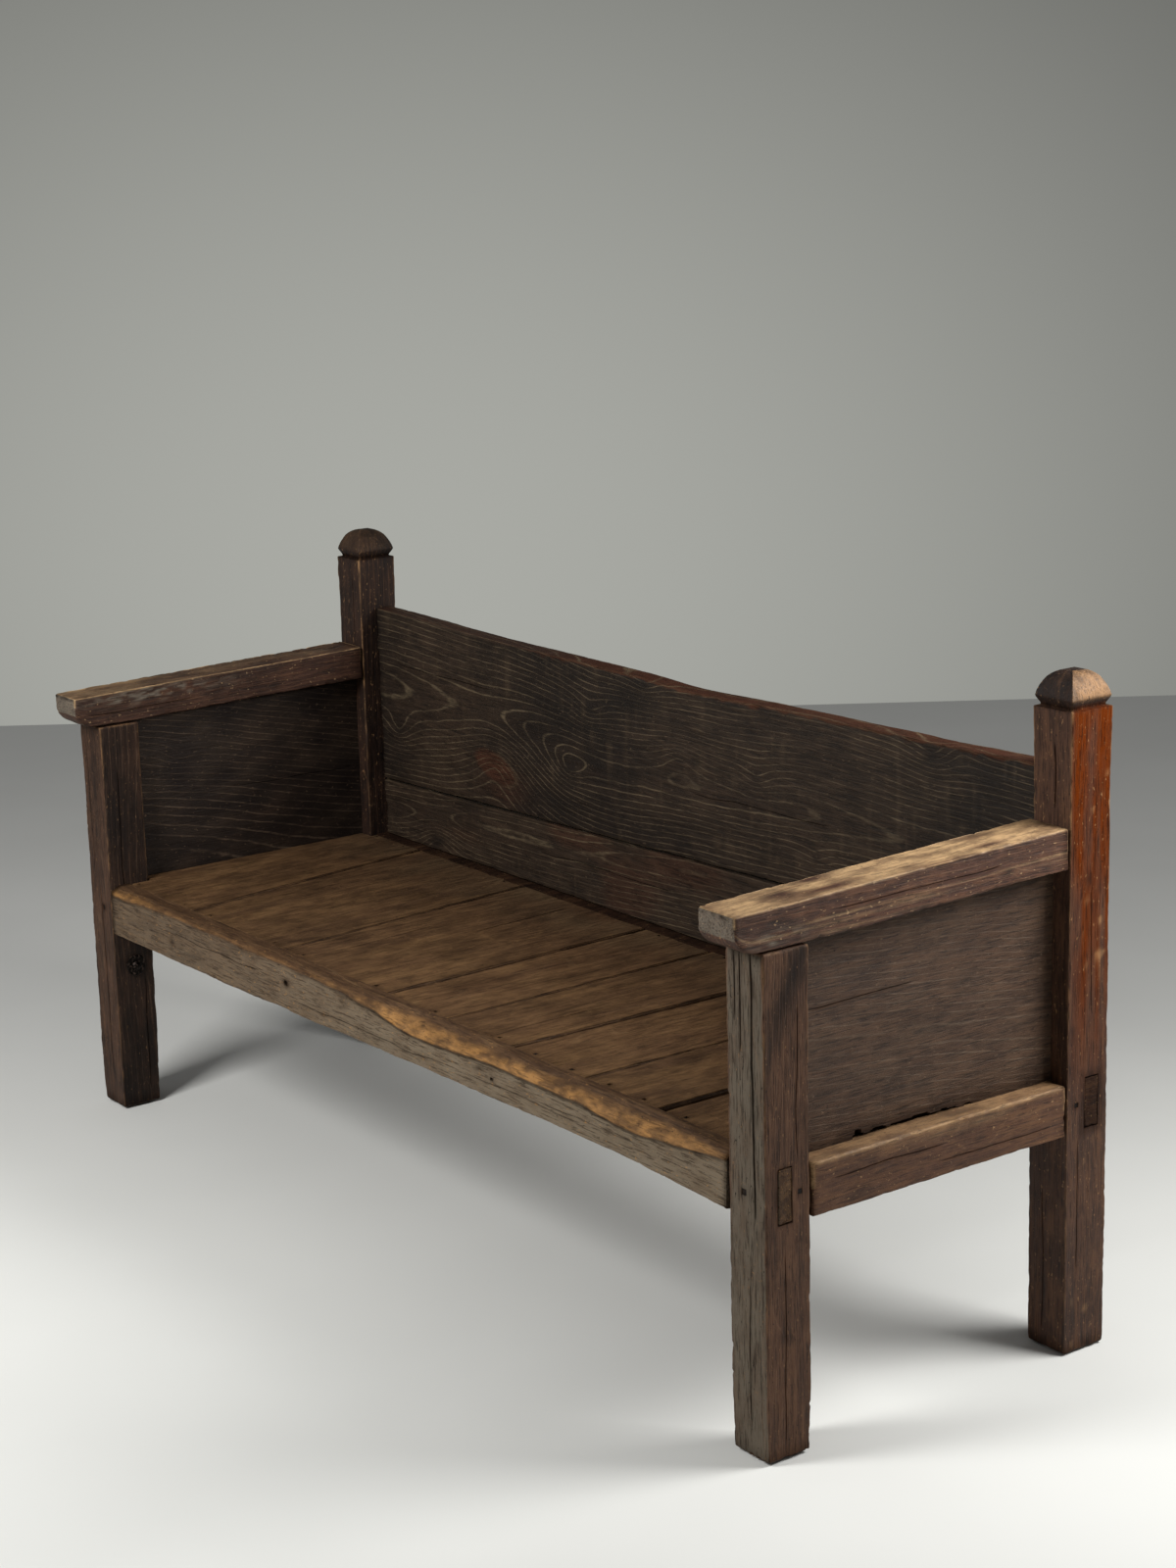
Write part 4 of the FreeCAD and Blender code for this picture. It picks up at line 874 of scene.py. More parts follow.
BACK_INNER = 872  # the middle of the bench to the posts
UPPER_KNOTS = [(67, 0, 95, 15, -34), (380, 0, 72, 30, 62), (608, 0, 109, 13, -24), (669, 0, 220, 13, 20),
               (908, 0, 178, 15, -24), (821, 0, 286, 12, 18), (1108, 0, 170, 12, 18), (1512, 0, 278, 14, 20),
               (1573, 0, 292, 12, -16), (1250, 0, 60, 10, -14)]
UPPER_CRACKS = [crack(Y, 0, Z, 120, 930, 1290, 0.8, 5, 3), crack(Y, 0, Z, 210, 60, 380, 0.8, 4, 3)]
LOWER_KNOTS = [(184, 0, 24, 20, 44), (1150, 0, 60, 12, -18), (1500, 0, 40, 10, 15)]
LOWER_CRACKS = [crack(Y, 0, Z, 70, 500, 900, 0.8, 4, 3)]


def back_seam(x):
    """The height of the seam between the two back boards."""
    return 526 + 50 * (x + BACK_INNER) / (2 * BACK_INNER)


def back_top(x):
    """The height of the back's top edge, which dips in the middle."""
    return 855 - 12 * (1 - (x / BACK_INNER) ** 2).clip(0, 1) - 5 * hump(x, 90, 110) - 2


def back_timber(node, tall, seed, cracks, chipping):
    """A back board before it is fitted: hewn and cracked, its top front arris chipped in the middle."""
    low, high = box_of(node)
    marks = {X: list(np.arange(10, 24, 2.2)), Y: [11.9, 12.1]}
    timber = Timber((2 * BACK_INNER, high[Y] - low[Y], tall), (4.6, 4.5, 4.2), X, seed, marks, cracks)
    along, deep, height = timber.box.T
    x = along - BACK_INNER
    front_top = (deep < 12) & (height > tall - 20)
    broken = 3.2 * np.clip(timber.swell(24, 2, X) + 0.5, 0, 1)
    chips = chipping * step(-230, -150, x) * (1 - step(260, 340, x)) * broken * front_top
    timber.round_arrises(timber.worn_radius(2.6, 2.2) + chips)
    timber.hew(0.6, 0.3)
    timber.open_cracks()
    return timber, low


def split_left_end(timber, lean):
    """Splits the front of a back board's left end away unevenly, so that a dark gap shows. The split is also
    painted dark, as painted shade in the gap.
    """
    along, deep, height = timber.box.T
    gone = 3 + 5 * (1 + timber.swell(42, 3, Z)) + 2.5 * (1 + timber.swell(9, 4, Z)) + lean
    split = (deep < 12) & (along < gone)
    timber.place[split, X] = np.maximum(timber.place[split, X], gone[split])
    # Painted shade: the split's surface is coloured dark, as the shade in the gap.
    timber.soil_and_shade(split * 0.9)


def fit_between(timber, bottom, top, waver):
    """Stretches a back board between its lower and its upper edge. Its lower edge may waver."""
    share = timber.place[:, Z] / timber.size[Z]
    wavy = 0.8 * (1 + timber.swell(90, 5, X))
    timber.place[:, Z] = bottom + wavy * (1 - share) * waver + share * (top - bottom - wavy)


def back_dirt_and_wear(timber):
    """What both back boards share: rubbed edges, scuffs, and dirt at their ends and foot."""
    along, height = timber.box[:, X], timber.box[:, Z]
    scuff = np.clip(timber.swell((9, 30, 60), 6) - 0.35, 0, 1)
    timber.rub_and_sheen = np.maximum(0.5 * step(7, 0, timber.from_arris()), 0.8 * scuff)
    timber.soil_and_shade(step(26, 0, np.minimum(along, timber.size[X] - along)) * 0.6)
    timber.soil_and_shade(step(12, 0, height) * 0.35)


def upper_back(material):
    """The upper back board: a dipped, red-brown top edge, knots, and one large oval knot."""
    timber, low = back_timber("back_board_upper", 300, 95, UPPER_CRACKS, 2.4)
    along, deep, height = timber.box.T
    x = along - BACK_INNER
    split_left_end(timber, 0)
    fit_between(timber, back_seam(x) + 0.7, back_top(x), True)
    back_dirt_and_wear(timber)
    front = timber.on_face(Y, 0)
    rim = step(7, 3, 300 - height + 4 * timber.swell((14, 9, 9), 7)) * step(-600, -150, x)
    oval = np.hypot((along - 380) / 2.4, height - 72 + 0.2 * (along - 380))
    red_knot = step(29, 22, oval) * front
    below_knot = hump(np.hypot((along - 410) / 2, height - 40), 0, 34)
    top = 0.4 * timber.on_face(Z, 1)
    timber.coat = np.maximum(np.maximum(top, 0.8 * rim), np.maximum(0.6 * red_knot, 0.3 * below_knot))
    timber.rub_and_sheen = np.maximum(timber.rub_and_sheen, hump(oval, 27, 2.4) * step(-10, 30, along - 380) * front)
    rings, knots = timber.growth_rings((-30, 165), 34, UPPER_KNOTS, 0.03)
    place_in_row(timber, (-BACK_INNER, low[Y], 0))
    dusty = hump(x, -650, 160) + hump(x, 60, 130) * hump(height, 170, 90) + hump(x, 420, 260)
    rings = (rings, knots * (1 - red_knot))
    finish_timber(timber, "back_board_upper", material, "back_wood", rings, 0.2 + 0.55 * dusty)


def lower_back(material):
    """The lower back board: a sloping upper edge, a knot near its left end and reddish patches."""
    timber, low = back_timber("back_board_lower", 130, 96, LOWER_CRACKS, 0)
    x = timber.box[:, X] - BACK_INNER
    split_left_end(timber, 3 * step(130, 0, timber.box[:, Z]))
    fit_between(timber, SEAT_TOP + 0.6, back_seam(x) - 0.7, False)
    back_dirt_and_wear(timber)
    timber.coat = 0.3 * step(0, 0.6, timber.swell((160, 30, 70), 8))
    rings = timber.growth_rings((20, 60), 14, LOWER_KNOTS, -0.06)
    place_in_row(timber, (-BACK_INNER, low[Y], 0))
    finish_timber(timber, "back_board_lower", material, "back_wood", rings, 0.72)


def turned(name, profile, centre, material):
    """A turned form about an axis along X. The profile gives each ring's place and radius."""
    sides = 48
    angles = np.arange(sides) * math.tau / sides
    points = []
    for along, radius in profile:
        beaten = radius * (1 + 0.02 * np.sin(3 * angles + along))
        ring = [np.full(sides, along), beaten * np.cos(angles), beaten * np.sin(angles)]
        points.append(np.column_stack(ring) + centre)
    faces = [tuple(range(sides))[::-1], tuple((len(profile) - 1) * sides + side for side in range(sides))]
    for level in range(len(profile) - 1):
        for side in range(sides):
            after = (side + 1) % sides
            low, high = level * sides, (level + 1) * sides
            faces.append((low + side, low + after, high + after, high + side))
    mesh = bpy.data.meshes.new(name)
    mesh.from_pydata(np.concatenate(points) * MM, [], faces)
    mesh.shade_smooth()
    mesh.set_sharp_from_angle(angle=math.radians(40))
    mesh.materials.append(material)
    thing = bpy.data.objects.new(name, mesh)
    bpy.context.scene.collection.objects.link(thing)
    return thing


# Outlines of the iron in the left leg: place from the leg's inner face, and radius
LEG_INNER = -870
WASHER = [(-1.5, 5), (-1.5, 18.2), (1.6, 18.8), (2.5, 18.1), (2.7, 16.5), (2.2, 12), (2.1, 6.5)]
DOMED_BOLT = [(-40, 4.6), (2.0, 4.8), (2.1, 8.4), (2.9, 9), (4.2, 8.8), (6, 7.6), (7.4, 5.8), (8.3, 3.8),
              (8.8, 1.8), (8.9, 0.5)]


def leg_bolt(material):
    """The bolt in the left front leg: a domed head on a beaten washer."""
    low, high = box_of("leg_bolt")
    centre = (0, (low[Y] + high[Y]) / 2, (low[Z] + high[Z]) / 2)
    washer = [(LEG_INNER + out, radius) for out, radius in WASHER]
    piece = turned("beaten_washer", washer, centre, material)
    install(piece, "iron", "leg_washer")
    dome = [(LEG_INNER + out, radius) for out, radius in DOMED_BOLT]
    piece = turned("domed_bolt", dome, centre, material)
    install(piece, "iron", "leg_bolt")


# Pegs and nails, repeated by Geometry Nodes


def add(tree, kind, inputs=None, **settings):
    """Adds a node with its settings and links.

    The inputs are given by name or number, as values, nodes or sockets. A list gives the first
    inputs in their order.
    """
    node = tree.nodes.new(kind)
    for name, value in settings.items():
        setattr(node, name, value)
    if isinstance(inputs, list):
        inputs = dict(enumerate(inputs))
    for key, value in (inputs or {}).items():
        if isinstance(value, bpy.types.Node):
            value = next(socket for socket in value.outputs if socket.enabled)
        if isinstance(value, bpy.types.NodeSocket):
            tree.links.new(value, node.inputs[key])
        else:
            node.inputs[key].default_value = value
    return node


def node_group(name, numbers):
    """An empty node group with a geometry, a material and the named numbers as its inputs."""
    tree = bpy.data.node_groups.new(name, "GeometryNodeTree")
    tree.interface.new_socket("Points", in_out="INPUT", socket_type="NodeSocketGeometry")
    tree.interface.new_socket("Material", in_out="INPUT", socket_type="NodeSocketMaterial")
    for number in numbers:
        tree.interface.new_socket(number, in_out="INPUT", socket_type="NodeSocketFloat")
    tree.interface.new_socket("Geometry", in_out="OUTPUT", socket_type="NodeSocketGeometry")
    return tree, add(tree, "NodeGroupInput")


def repeat_on_points(tree, given, shape, tilt, least):
    """Ends a node group: the shape on every point, turned and sized at random, as one mesh."""
    any_turn = {0: (0, 0, 0), 1: (0, 0, math.tau), "Seed": 5}
    turn = add(tree, "FunctionNodeRandomValue", any_turn, data_type="FLOAT_VECTOR")
    size = add(tree, "FunctionNodeRandomValue", {2: least, 3: 1.0, "Seed": 6}, data_type="FLOAT")
    placed = add(tree, "GeometryNodeInstanceOnPoints",
                 {"Points": given.outputs["Points"], "Instance": shape, "Rotation": tilt, "Scale": size})
    turned_round = add(tree, "GeometryNodeRotateInstances",
                       {"Instances": placed, "Rotation": turn, "Local Space": True})
    real = add(tree, "GeometryNodeRealizeInstances", {"Geometry": turned_round})
    finish = add(tree, "GeometryNodeSetMaterial", {"Geometry": real, "Material": given.outputs["Material"]})
    add(tree, "NodeGroupOutput", {"Geometry": finish})
    return tree


def peg_group(tilt):
    """Whittled pegs: eight-sided, a little uneven, centred on their points."""
    tree, given = node_group("whittled_pegs", ["Radius", "Length"])
    radius, length = given.outputs["Radius"], given.outputs["Length"]
    rod = add(tree, "GeometryNodeMeshCylinder",
              {"Vertices": 8, "Side Segments": 9, "Fill Segments": 2, "Radius": radius, "Depth": length})
    uneven = add(tree, "ShaderNodeTexNoise", {"Scale": 160.0, "Detail": 2.0})
    shift = add(tree, "ShaderNodeVectorMath", [uneven.outputs["Color"], (0.5, 0.5, 0.5)],
                operation="SUBTRACT")
    slight = add(tree, "ShaderNodeVectorMath", {0: shift, "Scale": 0.0012}, operation="SCALE")
    whittled = add(tree, "GeometryNodeSetPosition", {"Geometry": rod.outputs["Mesh"], "Offset": slight})
    return repeat_on_points(tree, given, whittled, tilt, 0.93)


def nail_group():
    """Forged nails: a small beaten head over a square shank that tapers to its point."""
    tree, given = node_group("forged_nails", ["Radius", "Length"])
    radius, length = given.outputs["Radius"], given.outputs["Length"]
    point = add(tree, "ShaderNodeMath", {0: radius, 1: 0.4}, operation="MULTIPLY")
    shank = add(tree, "GeometryNodeMeshCone", {"Vertices": 4, "Side Segments": 3, "Fill Segments": 1,
                                               "Radius Top": radius, "Radius Bottom": point, "Depth": length})
    down = add(tree, "ShaderNodeMath", {0: length, 1: -1.0}, operation="MULTIPLY")
    lower = add(tree, "ShaderNodeCombineXYZ", {"Z": down})
    lowered = add(tree, "GeometryNodeTransform", {"Geometry": shank.outputs["Mesh"], "Translation": lower})
    head = add(tree, "GeometryNodeMeshIcoSphere", {"Radius": radius, "Subdivisions": 3})
    flat = add(tree, "GeometryNodeTransform", {"Geometry": head.outputs["Mesh"], "Scale": (1.05, 0.95, 0.45)})
    dent = add(tree, "ShaderNodeTexNoise", {"Scale": 420.0, "Detail": 1.0})
    deep = add(tree, "ShaderNodeMath", {0: dent, 1: -0.0009}, operation="MULTIPLY")
    dents = add(tree, "ShaderNodeCombineXYZ", {"Z": deep})
    beaten = add(tree, "GeometryNodeSetPosition", {"Geometry": flat, "Offset": dents})
    both = add(tree, "GeometryNodeJoinGeometry", {"Geometry": lowered})
    tree.links.new(beaten.outputs[0], both.inputs[0])
    return repeat_on_points(tree, given, both, (0, 0, 0), 0.85)


def spread(name, places, group, material, radius, length):
    """Runs a node group on the places and keeps its result as a plain mesh."""
    seeds = bpy.data.meshes.new(name + "_points")
    seeds.from_pydata([Vector(place) * MM for place in places], [], [])
    holder = bpy.data.objects.new(name + "_points", seeds)
    bpy.context.scene.collection.objects.link(holder)
    modifier = holder.modifiers.new("repeat", "NODES")
    modifier.node_group = group
    values = {"Material": material, "Radius": radius * MM, "Length": length * MM}
    for item in group.interface.items_tree:
        if item.in_out == "INPUT" and item.name in values:
            modifier[item.identifier] = values[item.name]
    holder.update_tag()
    settled = holder.evaluated_get(bpy.context.evaluated_depsgraph_get())
    mesh = bpy.data.meshes.new_from_object(settled)
    bpy.data.objects.remove(holder)
    mesh.name = name
    mesh.shade_smooth()
    mesh.set_sharp_from_angle(angle=math.radians(28))
    thing = bpy.data.objects.new(name, mesh)
    bpy.context.scene.collection.objects.link(thing)
    return thing


PEG_RADIUS = 5.4


def pegs_and_nails(peg_material, iron):
    """The draw pegs, sunk a little in their holes, and the nails in the seat boards."""
    sunk = 3
    long, short = 50, 36
    front = [(end * 901, LEG_FRONT + sunk + long / 2, PEG_RISE) for end in (LEFT, RIGHT)]
    along_y = (math.pi / 2, 0, 0)
    piece = spread("whittled_front_rail_pegs", front, peg_group(along_y), peg_material, PEG_RADIUS, long)
    install(piece, "peg_wood", "front_rail_pegs")
    post_back = POST_FRONT + POST_SIZE[Y]
    rear = [(end * 903, post_back - sunk - long / 2, PEG_RISE) for end in (LEFT, RIGHT)]
    piece = spread("whittled_rear_rail_pegs", rear, peg_group(along_y), peg_material, PEG_RADIUS, long)
    install(piece, "peg_wood", "rear_rail_pegs")
    along_x = (0, math.pi / 2, 0)
    across = HALF_LENGTH - 2.6 - short / 2
    sides = [(end * across, y, PEG_RISE) for end in (LEFT, RIGHT) for y in (-231, 275)]
    piece = spread("whittled_side_rail_pegs", sides, peg_group(along_x), peg_material, PEG_RADIUS, short)
    install(piece, "peg_wood", "side_rail_pegs")
    heads = [(x, y, SEAT_TOP - 4 - seat_wear(x, y)) for x, y in nail_places()]
    piece = spread("forged_seat_nails", heads, nail_group(), iron, 3.0, 17)
    install(piece, "iron", "seat_nails")


# Materials


def colour(code):
    """A colour written as sRGB hex, as the linear values that the shaders take."""
    parts = [int(code[place:place + 2], 16) / 255 for place in (1, 3, 5)]
    linear = [part / 12.92 if part < 0.04045 else ((part + 0.055) / 1.055) ** 2.4 for part in parts]
    return (*linear, 1)


def new_material(name):
    """An empty material and its node tree."""
    material = bpy.data.materials.new(name)
    material.use_nodes = True
    material.node_tree.nodes.clear()
    return material, material.node_tree


# Sizes of the grain's patterns in millimetres, across and along the grain, and how much detail each has.
# The fibres and the nicks are drawn about twice as coarse as real ones, so that they show.
PATTERNS = dict(cloud=(75, 170, 3.0), streak=(7, 150, 9.0), patch=(26, 60, 8.0), fibre=(2.4, 40, 5.0),
                nick=(4, 8, 2.0))


def grain_patterns(tree, grain):
    """The masks stored on the piece, and the grain's noise patterns, drawn out along the grain."""
    coords = add(tree, "ShaderNodeTexCoord").outputs["Object"]
    part = {}
    for mask in ("rings", "knots", "rub_and_sheen", "grime_and_shade", "tone", "coat"):
        part[mask] = add(tree, "ShaderNodeAttribute", attribute_name=mask).outputs["Fac"]
    for pattern, (across, along, detail) in PATTERNS.items():
        scale = [1 / (across * MM)] * 3
        scale[grain] = 1 / (along * MM)
        drawn_out = add(tree, "ShaderNodeMapping", {"Vector": coords, "Scale": scale})
        noise = {"Vector": drawn_out, "Scale": 1.0, "Detail": detail, "Roughness": 0.68}
        part[pattern] = add(tree, "ShaderNodeTexNoise", noise).outputs["Fac"]
    return part


def ring_lines(tree, part, spacing):
    """The growth rings as thin lines that waver and fade in and out."""
    bent = add(tree, "ShaderNodeMath", [part["cloud"], 9.0, part["rings"]], operation="MULTIPLY_ADD")
    turns = add(tree, "ShaderNodeMath", [bent, spacing], operation="DIVIDE")
    wave = add(tree, "ShaderNodeMath", [turns, 0.5], operation="PINGPONG")
    lines = add(tree, "ShaderNodeMapRange", [wave, 0.38, 0.49], interpolation_type="SMOOTHSTEP")
    faded = add(tree, "ShaderNodeMapRange", [part["cloud"], 0.36, 0.6, 0.2, 1.0])
    return add(tree, "ShaderNodeMath", [lines, faded], operation="MULTIPLY")


def layered_colour(tree, part, tones, line, worn):
    """The wood's colour: dark to mid by its tone, and over it the grain, coat, rings, wear with painted
    highlights, and dirt with painted shade.
    """
    dark, mid, light, ring, rubbed, dirt, coat = (colour(tone) for tone in tones)
    drift = add(tree, "ShaderNodeMapRange", [part["cloud"], 0.3, 0.7, -0.3, 0.3])
    deep = add(tree, "ShaderNodeMath", [part["tone"], drift], operation="ADD", use_clamp=True)
    shade = add(tree, "ShaderNodeMix", {0: deep, 6: dark, 7: mid}, data_type="RGBA")
    layers = (  # mask, pattern, its range, how much shows at each end of it, colour
        ("tone", "patch", 0.5, 0.72, 0.0, 0.85, light),
        (None, "patch", 0.46, 0.3, 0.0, 0.5, dark),
        ("tone", "streak", 0.47, 0.7, 0.0, 0.65, light),
        (None, "streak", 0.48, 0.32, 0.0, 0.45, dark),
        ("coat", "patch", 0.36, 0.56, 0.65, 1.0, coat),
        ("line", "patch", 0.38, 0.58, 0.3 * line, line, ring),
        ("knots", "patch", 0.3, 0.6, 0.9, 0.5, dark),
        # The rubbed colour over the wear-and-sheen mask: real wear, and painted highlights on the right
        # finial and the arms' arrises.
        ("rub_and_sheen", "patch", 0.4, 0.56, 0.25 * worn, 0.75 * worn, rubbed),
        ("rub_and_sheen", "fibre", 0.5, 0.62, 0.0, 0.7 * worn, rubbed),
        (None, "fibre", 0.52, 0.6, 0.0, 0.65, dark),
        (None, "nick", 0.66, 0.71, 0.0, 0.45, rubbed),
        (None, "nick", 0.32, 0.27, 0.0, 0.8, dirt),
        # The dirt colour over the dirt-and-shade mask: dirt, and shade painted into seams, splits and shaded
        # places.
        ("grime_and_shade", "patch", 0.62, 0.36, 0.65, 1.0, dirt))
    for mask, pattern, low, high, least, most, tint in layers:
        amount = add(tree, "ShaderNodeMapRange", [part[pattern], low, high, least, most])
        if mask:
            amount = add(tree, "ShaderNodeMath", [part[mask], amount], operation="MULTIPLY", use_clamp=True)
        shade = add(tree, "ShaderNodeMix", {0: amount, 6: shade, 7: tint}, data_type="RGBA")
    return shade


def polish(tree, part, gloss):
    """Roughness and gloss: smooth where rubbed, dull in dirt and painted shade and under the weathered coat.
    """
    smoothest, roughest = 0.66 - 0.3 * gloss, 0.8 - 0.26 * gloss
    rough = add(tree, "ShaderNodeMapRange", [part["streak"], 0.35, 0.65, smoothest, roughest])
    rough = add(tree, "ShaderNodeMath", [part["grime_and_shade"], 0.25, rough], operation="MULTIPLY_ADD")
    rough = add(tree, "ShaderNodeMath", [part["rub_and_sheen"], -0.14, rough], operation="MULTIPLY_ADD", use_clamp=True)
    dull = add(tree, "ShaderNodeMath", [part["grime_and_shade"], part["coat"]], operation="MAXIMUM")
    return rough, add(tree, "ShaderNodeMapRange", [dull, 0.0, 0.8, 0.1 + 0.3 * gloss, 0.03])


def raised_grain(tree, part):
    """The relief of the grain: raised rings and streaks between sunk fibres."""
    relief = add(tree, "ShaderNodeMath", [part["line"], 0.3, part["streak"]], operation="MULTIPLY_ADD")
    relief = add(tree, "ShaderNodeMath", [part["fibre"], -1.8, relief], operation="MULTIPLY_ADD")
    relief = add(tree, "ShaderNodeMath", [part["patch"], 1.2, relief], operation="MULTIPLY_ADD")
    return add(tree, "ShaderNodeBump", {"Height": relief, "Strength": 0.8, "Distance": MM})


def old_wood(name, grain, tones, spacing, line, worn, gloss):
    """Old worn oak. Tones: dark, mid, light, ring line, rubbed (also painted highlights), dirt (also painted
    shade) and second coat.

    The spacing of the rings is in millimetres. Line, worn and gloss say how strongly the ring
    lines, the rubbed places and the polish show.
    """
    material, tree = new_material(name)
    part = grain_patterns(tree, grain)
    part["line"] = ring_lines(tree, part, spacing)
    shade = layered_colour(tree, part, tones, line, worn)
    rough, shine = polish(tree, part, gloss)
    shader = add(tree, "ShaderNodeBsdfPrincipled",
                 {"Base Color": shade, "Roughness": rough, "Specular IOR Level": shine,
                  "Normal": raised_grain(tree, part)})
    add(tree, "ShaderNodeOutputMaterial", {"Surface": shader})
    return material


def dry_leg_oak():
    """Front legs: dark red-brown, dry and cracked along the grain, weathered grey in front."""
    tones = ("#1a120e", "#4f3729", "#684b38", "#735a46", "#8f6b48", "#0c0806", "#655c50")
    return old_wood("dry_leg_oak", Z, tones, 9, 0.35, 0.75, 0.3)


def varnished_post_oak():
    """Rear posts: dark brown, with a coat of orange varnish on the outside and golden arrises; the pale
    rubbed colour also paints a highlight on the right finial.
    """
    tones = ("#150d0a", "#4e3528", "#684832", "#6f4e35", "#b98d60", "#0b0705", "#602805")
    return old_wood("varnished_post_oak", Z, tones, 10, 0.3, 0.75, 0.45)


def polished_arm_oak():
    """Arms: dark sides, tops polished by hands to pale gold, upper arrises pale with wear and a painted
    highlight, noses of grey end grain.
    """
    tones = ("#1b120d", "#4e3226", "#6f4b35", "#806246", "#d6b080", "#0f0a07", "#7a7266")
    return old_wood("polished_arm_oak", Y, tones, 8, 0.35, 1.0, 0.5)


def worn_rail_oak():
    """Front rail: brown on top, weathered grey in front, its arris worn to bright golden fibres."""
    tones = ("#22150d", "#523a26", "#6c5137", "#806545", "#b5844b", "#120b07", "#786b5a")
    return old_wood("worn_rail_oak", X, tones, 8, 0.3, 1.0, 0.3)


def red_rail_oak():
    """Side rails and rear rail: red-brown satin, pale where the upper arris is rubbed."""
    tones = ("#23150f", "#543828", "#6f4e34", "#805f42", "#c09a6c", "#0d0806", "#6a5340")
    return old_wood("red_rail_oak", Y, tones, 9, 0.3, 0.85, 0.45)


def dark_panel_oak():
    """Side panels: dark brown and satin, with faint raised rings in long lines and loops."""
    tones = ("#1b1310", "#463327", "#5a4130", "#625142", "#7c6650", "#0a0705", "#4f463a")
    return old_wood("dark_panel_oak", Y, tones, 10, 0.85, 0.35, 0.45)


def rubbed_seat_oak():
    """Seat boards: warm mid brown, streaked and rubbed in front, darker and dusty at the back, where the pale
    dusty coat is also painted light.
    """
    tones = ("#25170d", "#553b26", "#705237", "#7e6547", "#94714a", "#0d0805", "#64543f")
    return old_wood("rubbed_seat_oak", Y, tones, 9, 0.3, 0.6, 0.45)


def raised_back_oak():
    """Back boards: dark brown with thin pale raised rings, knots, and a red-brown worn top."""
    tones = ("#150f0b", "#35281d", "#433427", "#6f604a", "#665440", "#080504", "#4f3024")
    return old_wood("raised_back_oak", X, tones, 10, 0.75, 0.5, 0.45)


def end_grain_peg():
    """Pegs: dark end grain, dull and dirty."""
    tones = ("#120c09", "#2b1f17", "#3c2d21", "#4c3c2e", "#5b4836", "#0a0705", "#3c342c")
    return old_wood("end_grain_peg", Y, tones, 3, 0.4, 0.3, 0.2)


def blackened_iron():
    """Bolt, washer and nails: blackened wrought iron, dull, with rust in its pits."""
    material, tree = new_material("blackened_iron")
    coords = add(tree, "ShaderNodeTexCoord").outputs["Object"]
    scale = add(tree, "ShaderNodeTexNoise", {"Vector": coords, "Scale": 1 / (3.8 * MM), "Detail": 4.0})
    pitted = add(tree, "ShaderNodeTexNoise", {"Vector": coords, "Scale": 1 / (1.1 * MM), "Detail": 2.0})
    rusty = add(tree, "ShaderNodeMapRange", [scale, 0.52, 0.66])
    iron_and_rust = {0: rusty, 6: colour("#1c1917"), 7: colour("#3d2a1e")}
    shade = add(tree, "ShaderNodeMix", iron_and_rust, data_type="RGBA")
    rough = add(tree, "ShaderNodeMapRange", [scale, 0.4, 0.65, 0.34, 0.7])
    metallic = add(tree, "ShaderNodeMapRange", [scale, 0.66, 0.5])
    relief = add(tree, "ShaderNodeMath", [scale, 0.5, pitted], operation="MULTIPLY_ADD")
    bump = add(tree, "ShaderNodeBump", {"Height": relief, "Strength": 0.7, "Distance": 0.4 * MM})
    shader = add(tree, "ShaderNodeBsdfPrincipled",
                 {"Base Color": shade, "Roughness": rough, "Metallic": metallic, "Normal": bump})
    add(tree, "ShaderNodeOutputMaterial", {"Surface": shader})
    return material


# The camera, in metres, found from the photo's straight arrises

VIEW_FROM = Vector((3.7059, -2.5602, 1.7944))
YAW, PITCH, ROLL = math.radians(54), math.radians(-13.5), math.radians(-1.5)
LENS = 67.4


def camera():
    """The camera at the photo's viewing angle. Gives the direction of the wall's brightest place."""
    forward = Vector((-math.sin(YAW) * math.cos(PITCH), math.cos(YAW) * math.cos(PITCH), math.sin(PITCH)))
    level = Vector((math.cos(YAW), math.sin(YAW), 0))
    upright = level.cross(forward)
    right = level * math.cos(ROLL) + upright * math.sin(ROLL)
    up = upright * math.cos(ROLL) - level * math.sin(ROLL)
    data = bpy.data.cameras.new("photo_camera")
    data.lens = LENS
    data.sensor_width = 36
    data.clip_end = 60
    thing = bpy.data.objects.new("photo_camera", data)
    turn = Matrix((right, up, -forward)).transposed().to_4x4()
    thing.matrix_world = Matrix.Translation(VIEW_FROM) @ turn
    bpy.context.scene.collection.objects.link(thing)
    bpy.context.scene.camera = thing
    return (forward - 0.067 * right + 0.067 * up).normalized()


def studio_paper():
    """The floor: pale and matt, with a slight mottle."""
    material, tree = new_material("studio_paper")
    coords = add(tree, "ShaderNodeTexCoord").outputs["Object"]
    mottle = add(tree, "ShaderNodeTexNoise", {"Vector": coords, "Scale": 1.4, "Detail": 3.0})
    pale = add(tree, "ShaderNodeMapRange", [mottle, 0.3, 0.7])
    two_whites = {0: pale, 6: colour("#e9e9e4"), 7: colour("#e3e3de")}
    shade = add(tree, "ShaderNodeMix", two_whites, data_type="RGBA")
    fibres = add(tree, "ShaderNodeTexNoise", {"Vector": coords, "Scale": 90.0, "Detail": 3.0})
    bump = add(tree, "ShaderNodeBump", {"Height": fibres, "Strength": 0.15, "Distance": MM})
    shader = add(tree, "ShaderNodeBsdfPrincipled", {"Base Color": shade, "Roughness": 0.85, "Normal": bump})
    add(tree, "ShaderNodeOutputMaterial", {"Surface": shader})
    return material


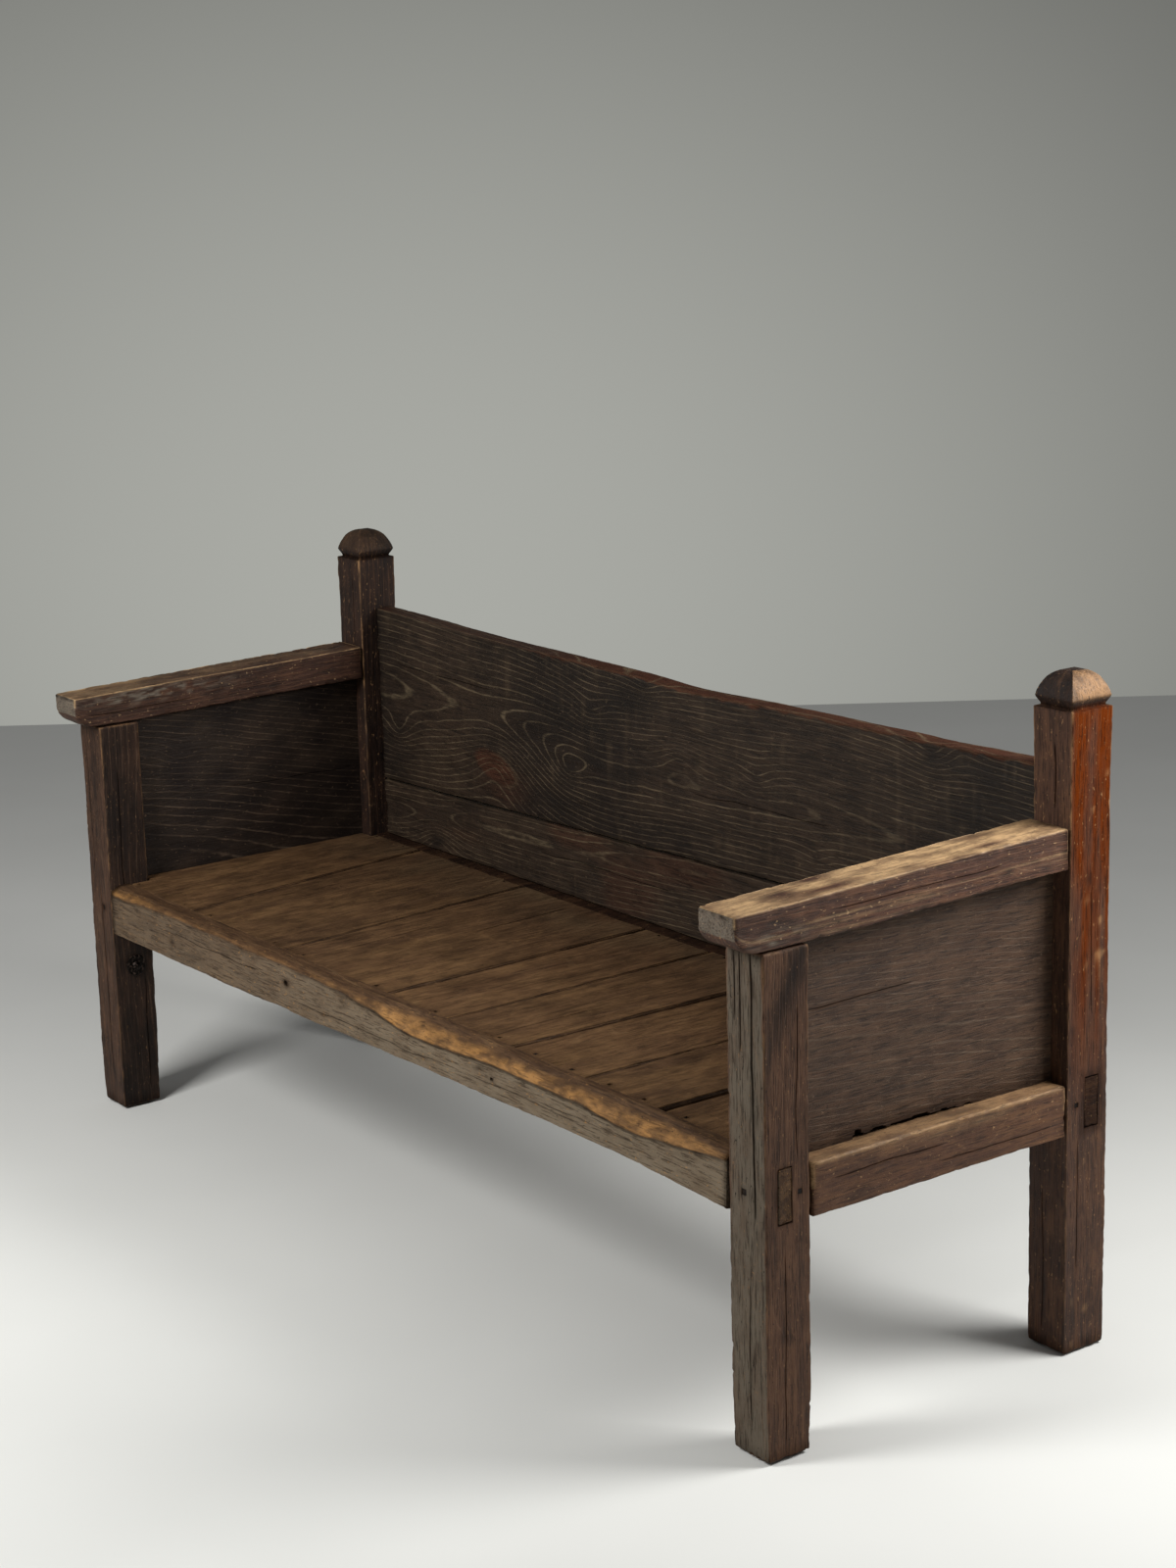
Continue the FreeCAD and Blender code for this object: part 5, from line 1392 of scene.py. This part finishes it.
def floor():
    """A square of floor, its far edge where the photo's wall begins."""
    half = 3.9
    mesh = bpy.data.meshes.new("studio_floor")
    corners = [(-half, -half, 0), (half, -half, 0), (half, half, 0), (-half, half, 0)]
    mesh.from_pydata(corners, [], [(0, 1, 2, 3)])
    mesh.materials.append(studio_paper())
    thing = bpy.data.objects.new("studio_floor", mesh)
    thing.matrix_world = Matrix.Translation((0.07, 0.08, 0)) @ Matrix.Rotation(YAW, 4, "Z")
    bpy.context.scene.collection.objects.link(thing)


def world(glow):
    """A grey wall, brightest in one direction, for the eye and for reflections. Faint even fill."""
    room = bpy.data.worlds.new("studio")
    bpy.context.scene.world = room
    room.use_nodes = True
    tree = room.node_tree
    tree.nodes.clear()
    direction = add(tree, "ShaderNodeTexCoord").outputs["Generated"]
    away = add(tree, "ShaderNodeVectorMath", [direction, glow], operation="SUBTRACT")
    flatter = (1, 1, 1.36)
    steeper = add(tree, "ShaderNodeVectorMath", [away, flatter], operation="MULTIPLY")
    squared = add(tree, "ShaderNodeVectorMath", [steeper, steeper], operation="DOT_PRODUCT").outputs["Value"]
    fading = add(tree, "ShaderNodeMath", [squared, -6.3], operation="MULTIPLY")
    faded = add(tree, "ShaderNodeMath", [fading, -1.0], operation="MAXIMUM")
    strength = add(tree, "ShaderNodeMath", [faded], operation="EXPONENT")
    seen = add(tree, "ShaderNodeBackground", {"Color": colour("#a9aaa4"), "Strength": strength})
    fill = add(tree, "ShaderNodeBackground", {"Color": colour("#f4f5f6"), "Strength": 0.17})
    rays = add(tree, "ShaderNodeLightPath")
    looked_at = add(tree, "ShaderNodeMath", [rays.outputs["Is Camera Ray"], rays.outputs["Is Glossy Ray"]],
                    operation="MAXIMUM")
    mixed = add(tree, "ShaderNodeMixShader", [looked_at, fill, seen])
    add(tree, "ShaderNodeOutputWorld", {"Surface": mixed})


def lamp(name, place, aim, size, power):
    """A square soft light, aimed at a point."""
    data = bpy.data.lights.new(name, "AREA")
    data.size = size
    data.energy = power
    thing = bpy.data.objects.new(name, data)
    thing.location = place
    thing.rotation_euler = (Vector(aim) - Vector(place)).to_track_quat("-Z", "Y").to_euler()
    thing.visible_camera = False
    bpy.context.scene.collection.objects.link(thing)


def dress():
    """Every piece of the bench, worn as in the photo."""
    leg, post, arm = dry_leg_oak(), varnished_post_oak(), polished_arm_oak()
    rail, panel = red_rail_oak(), dark_panel_oak()
    for side in (LEFT, RIGHT):
        front_leg(side, leg)
        rear_post(side, post)
        armrest(side, arm)
        side_rail(side, rail)
        side_panel(side, panel)
    front_rail(worn_rail_oak())
    rear_rail(rail)
    seat = rubbed_seat_oak()
    for number in BOARD_SET:
        seat_board(number, seat)
    back = raised_back_oak()
    lower_back(back)
    upper_back(back)
    iron = blackened_iron()
    leg_bolt(iron)
    pegs_and_nails(end_grain_peg(), iron)


dress()
glow = camera()
floor()
world(glow)
lamp("front_light", (0, -2.16, 2.08), (-1.1, 0.5, 0), 0.9, 63)
lamp("right_light", (1.59, 0.92, 1.54), (0.7, 0.35, 0), 0.8, 34)
bpy.context.scene.view_settings.view_transform = "Standard"
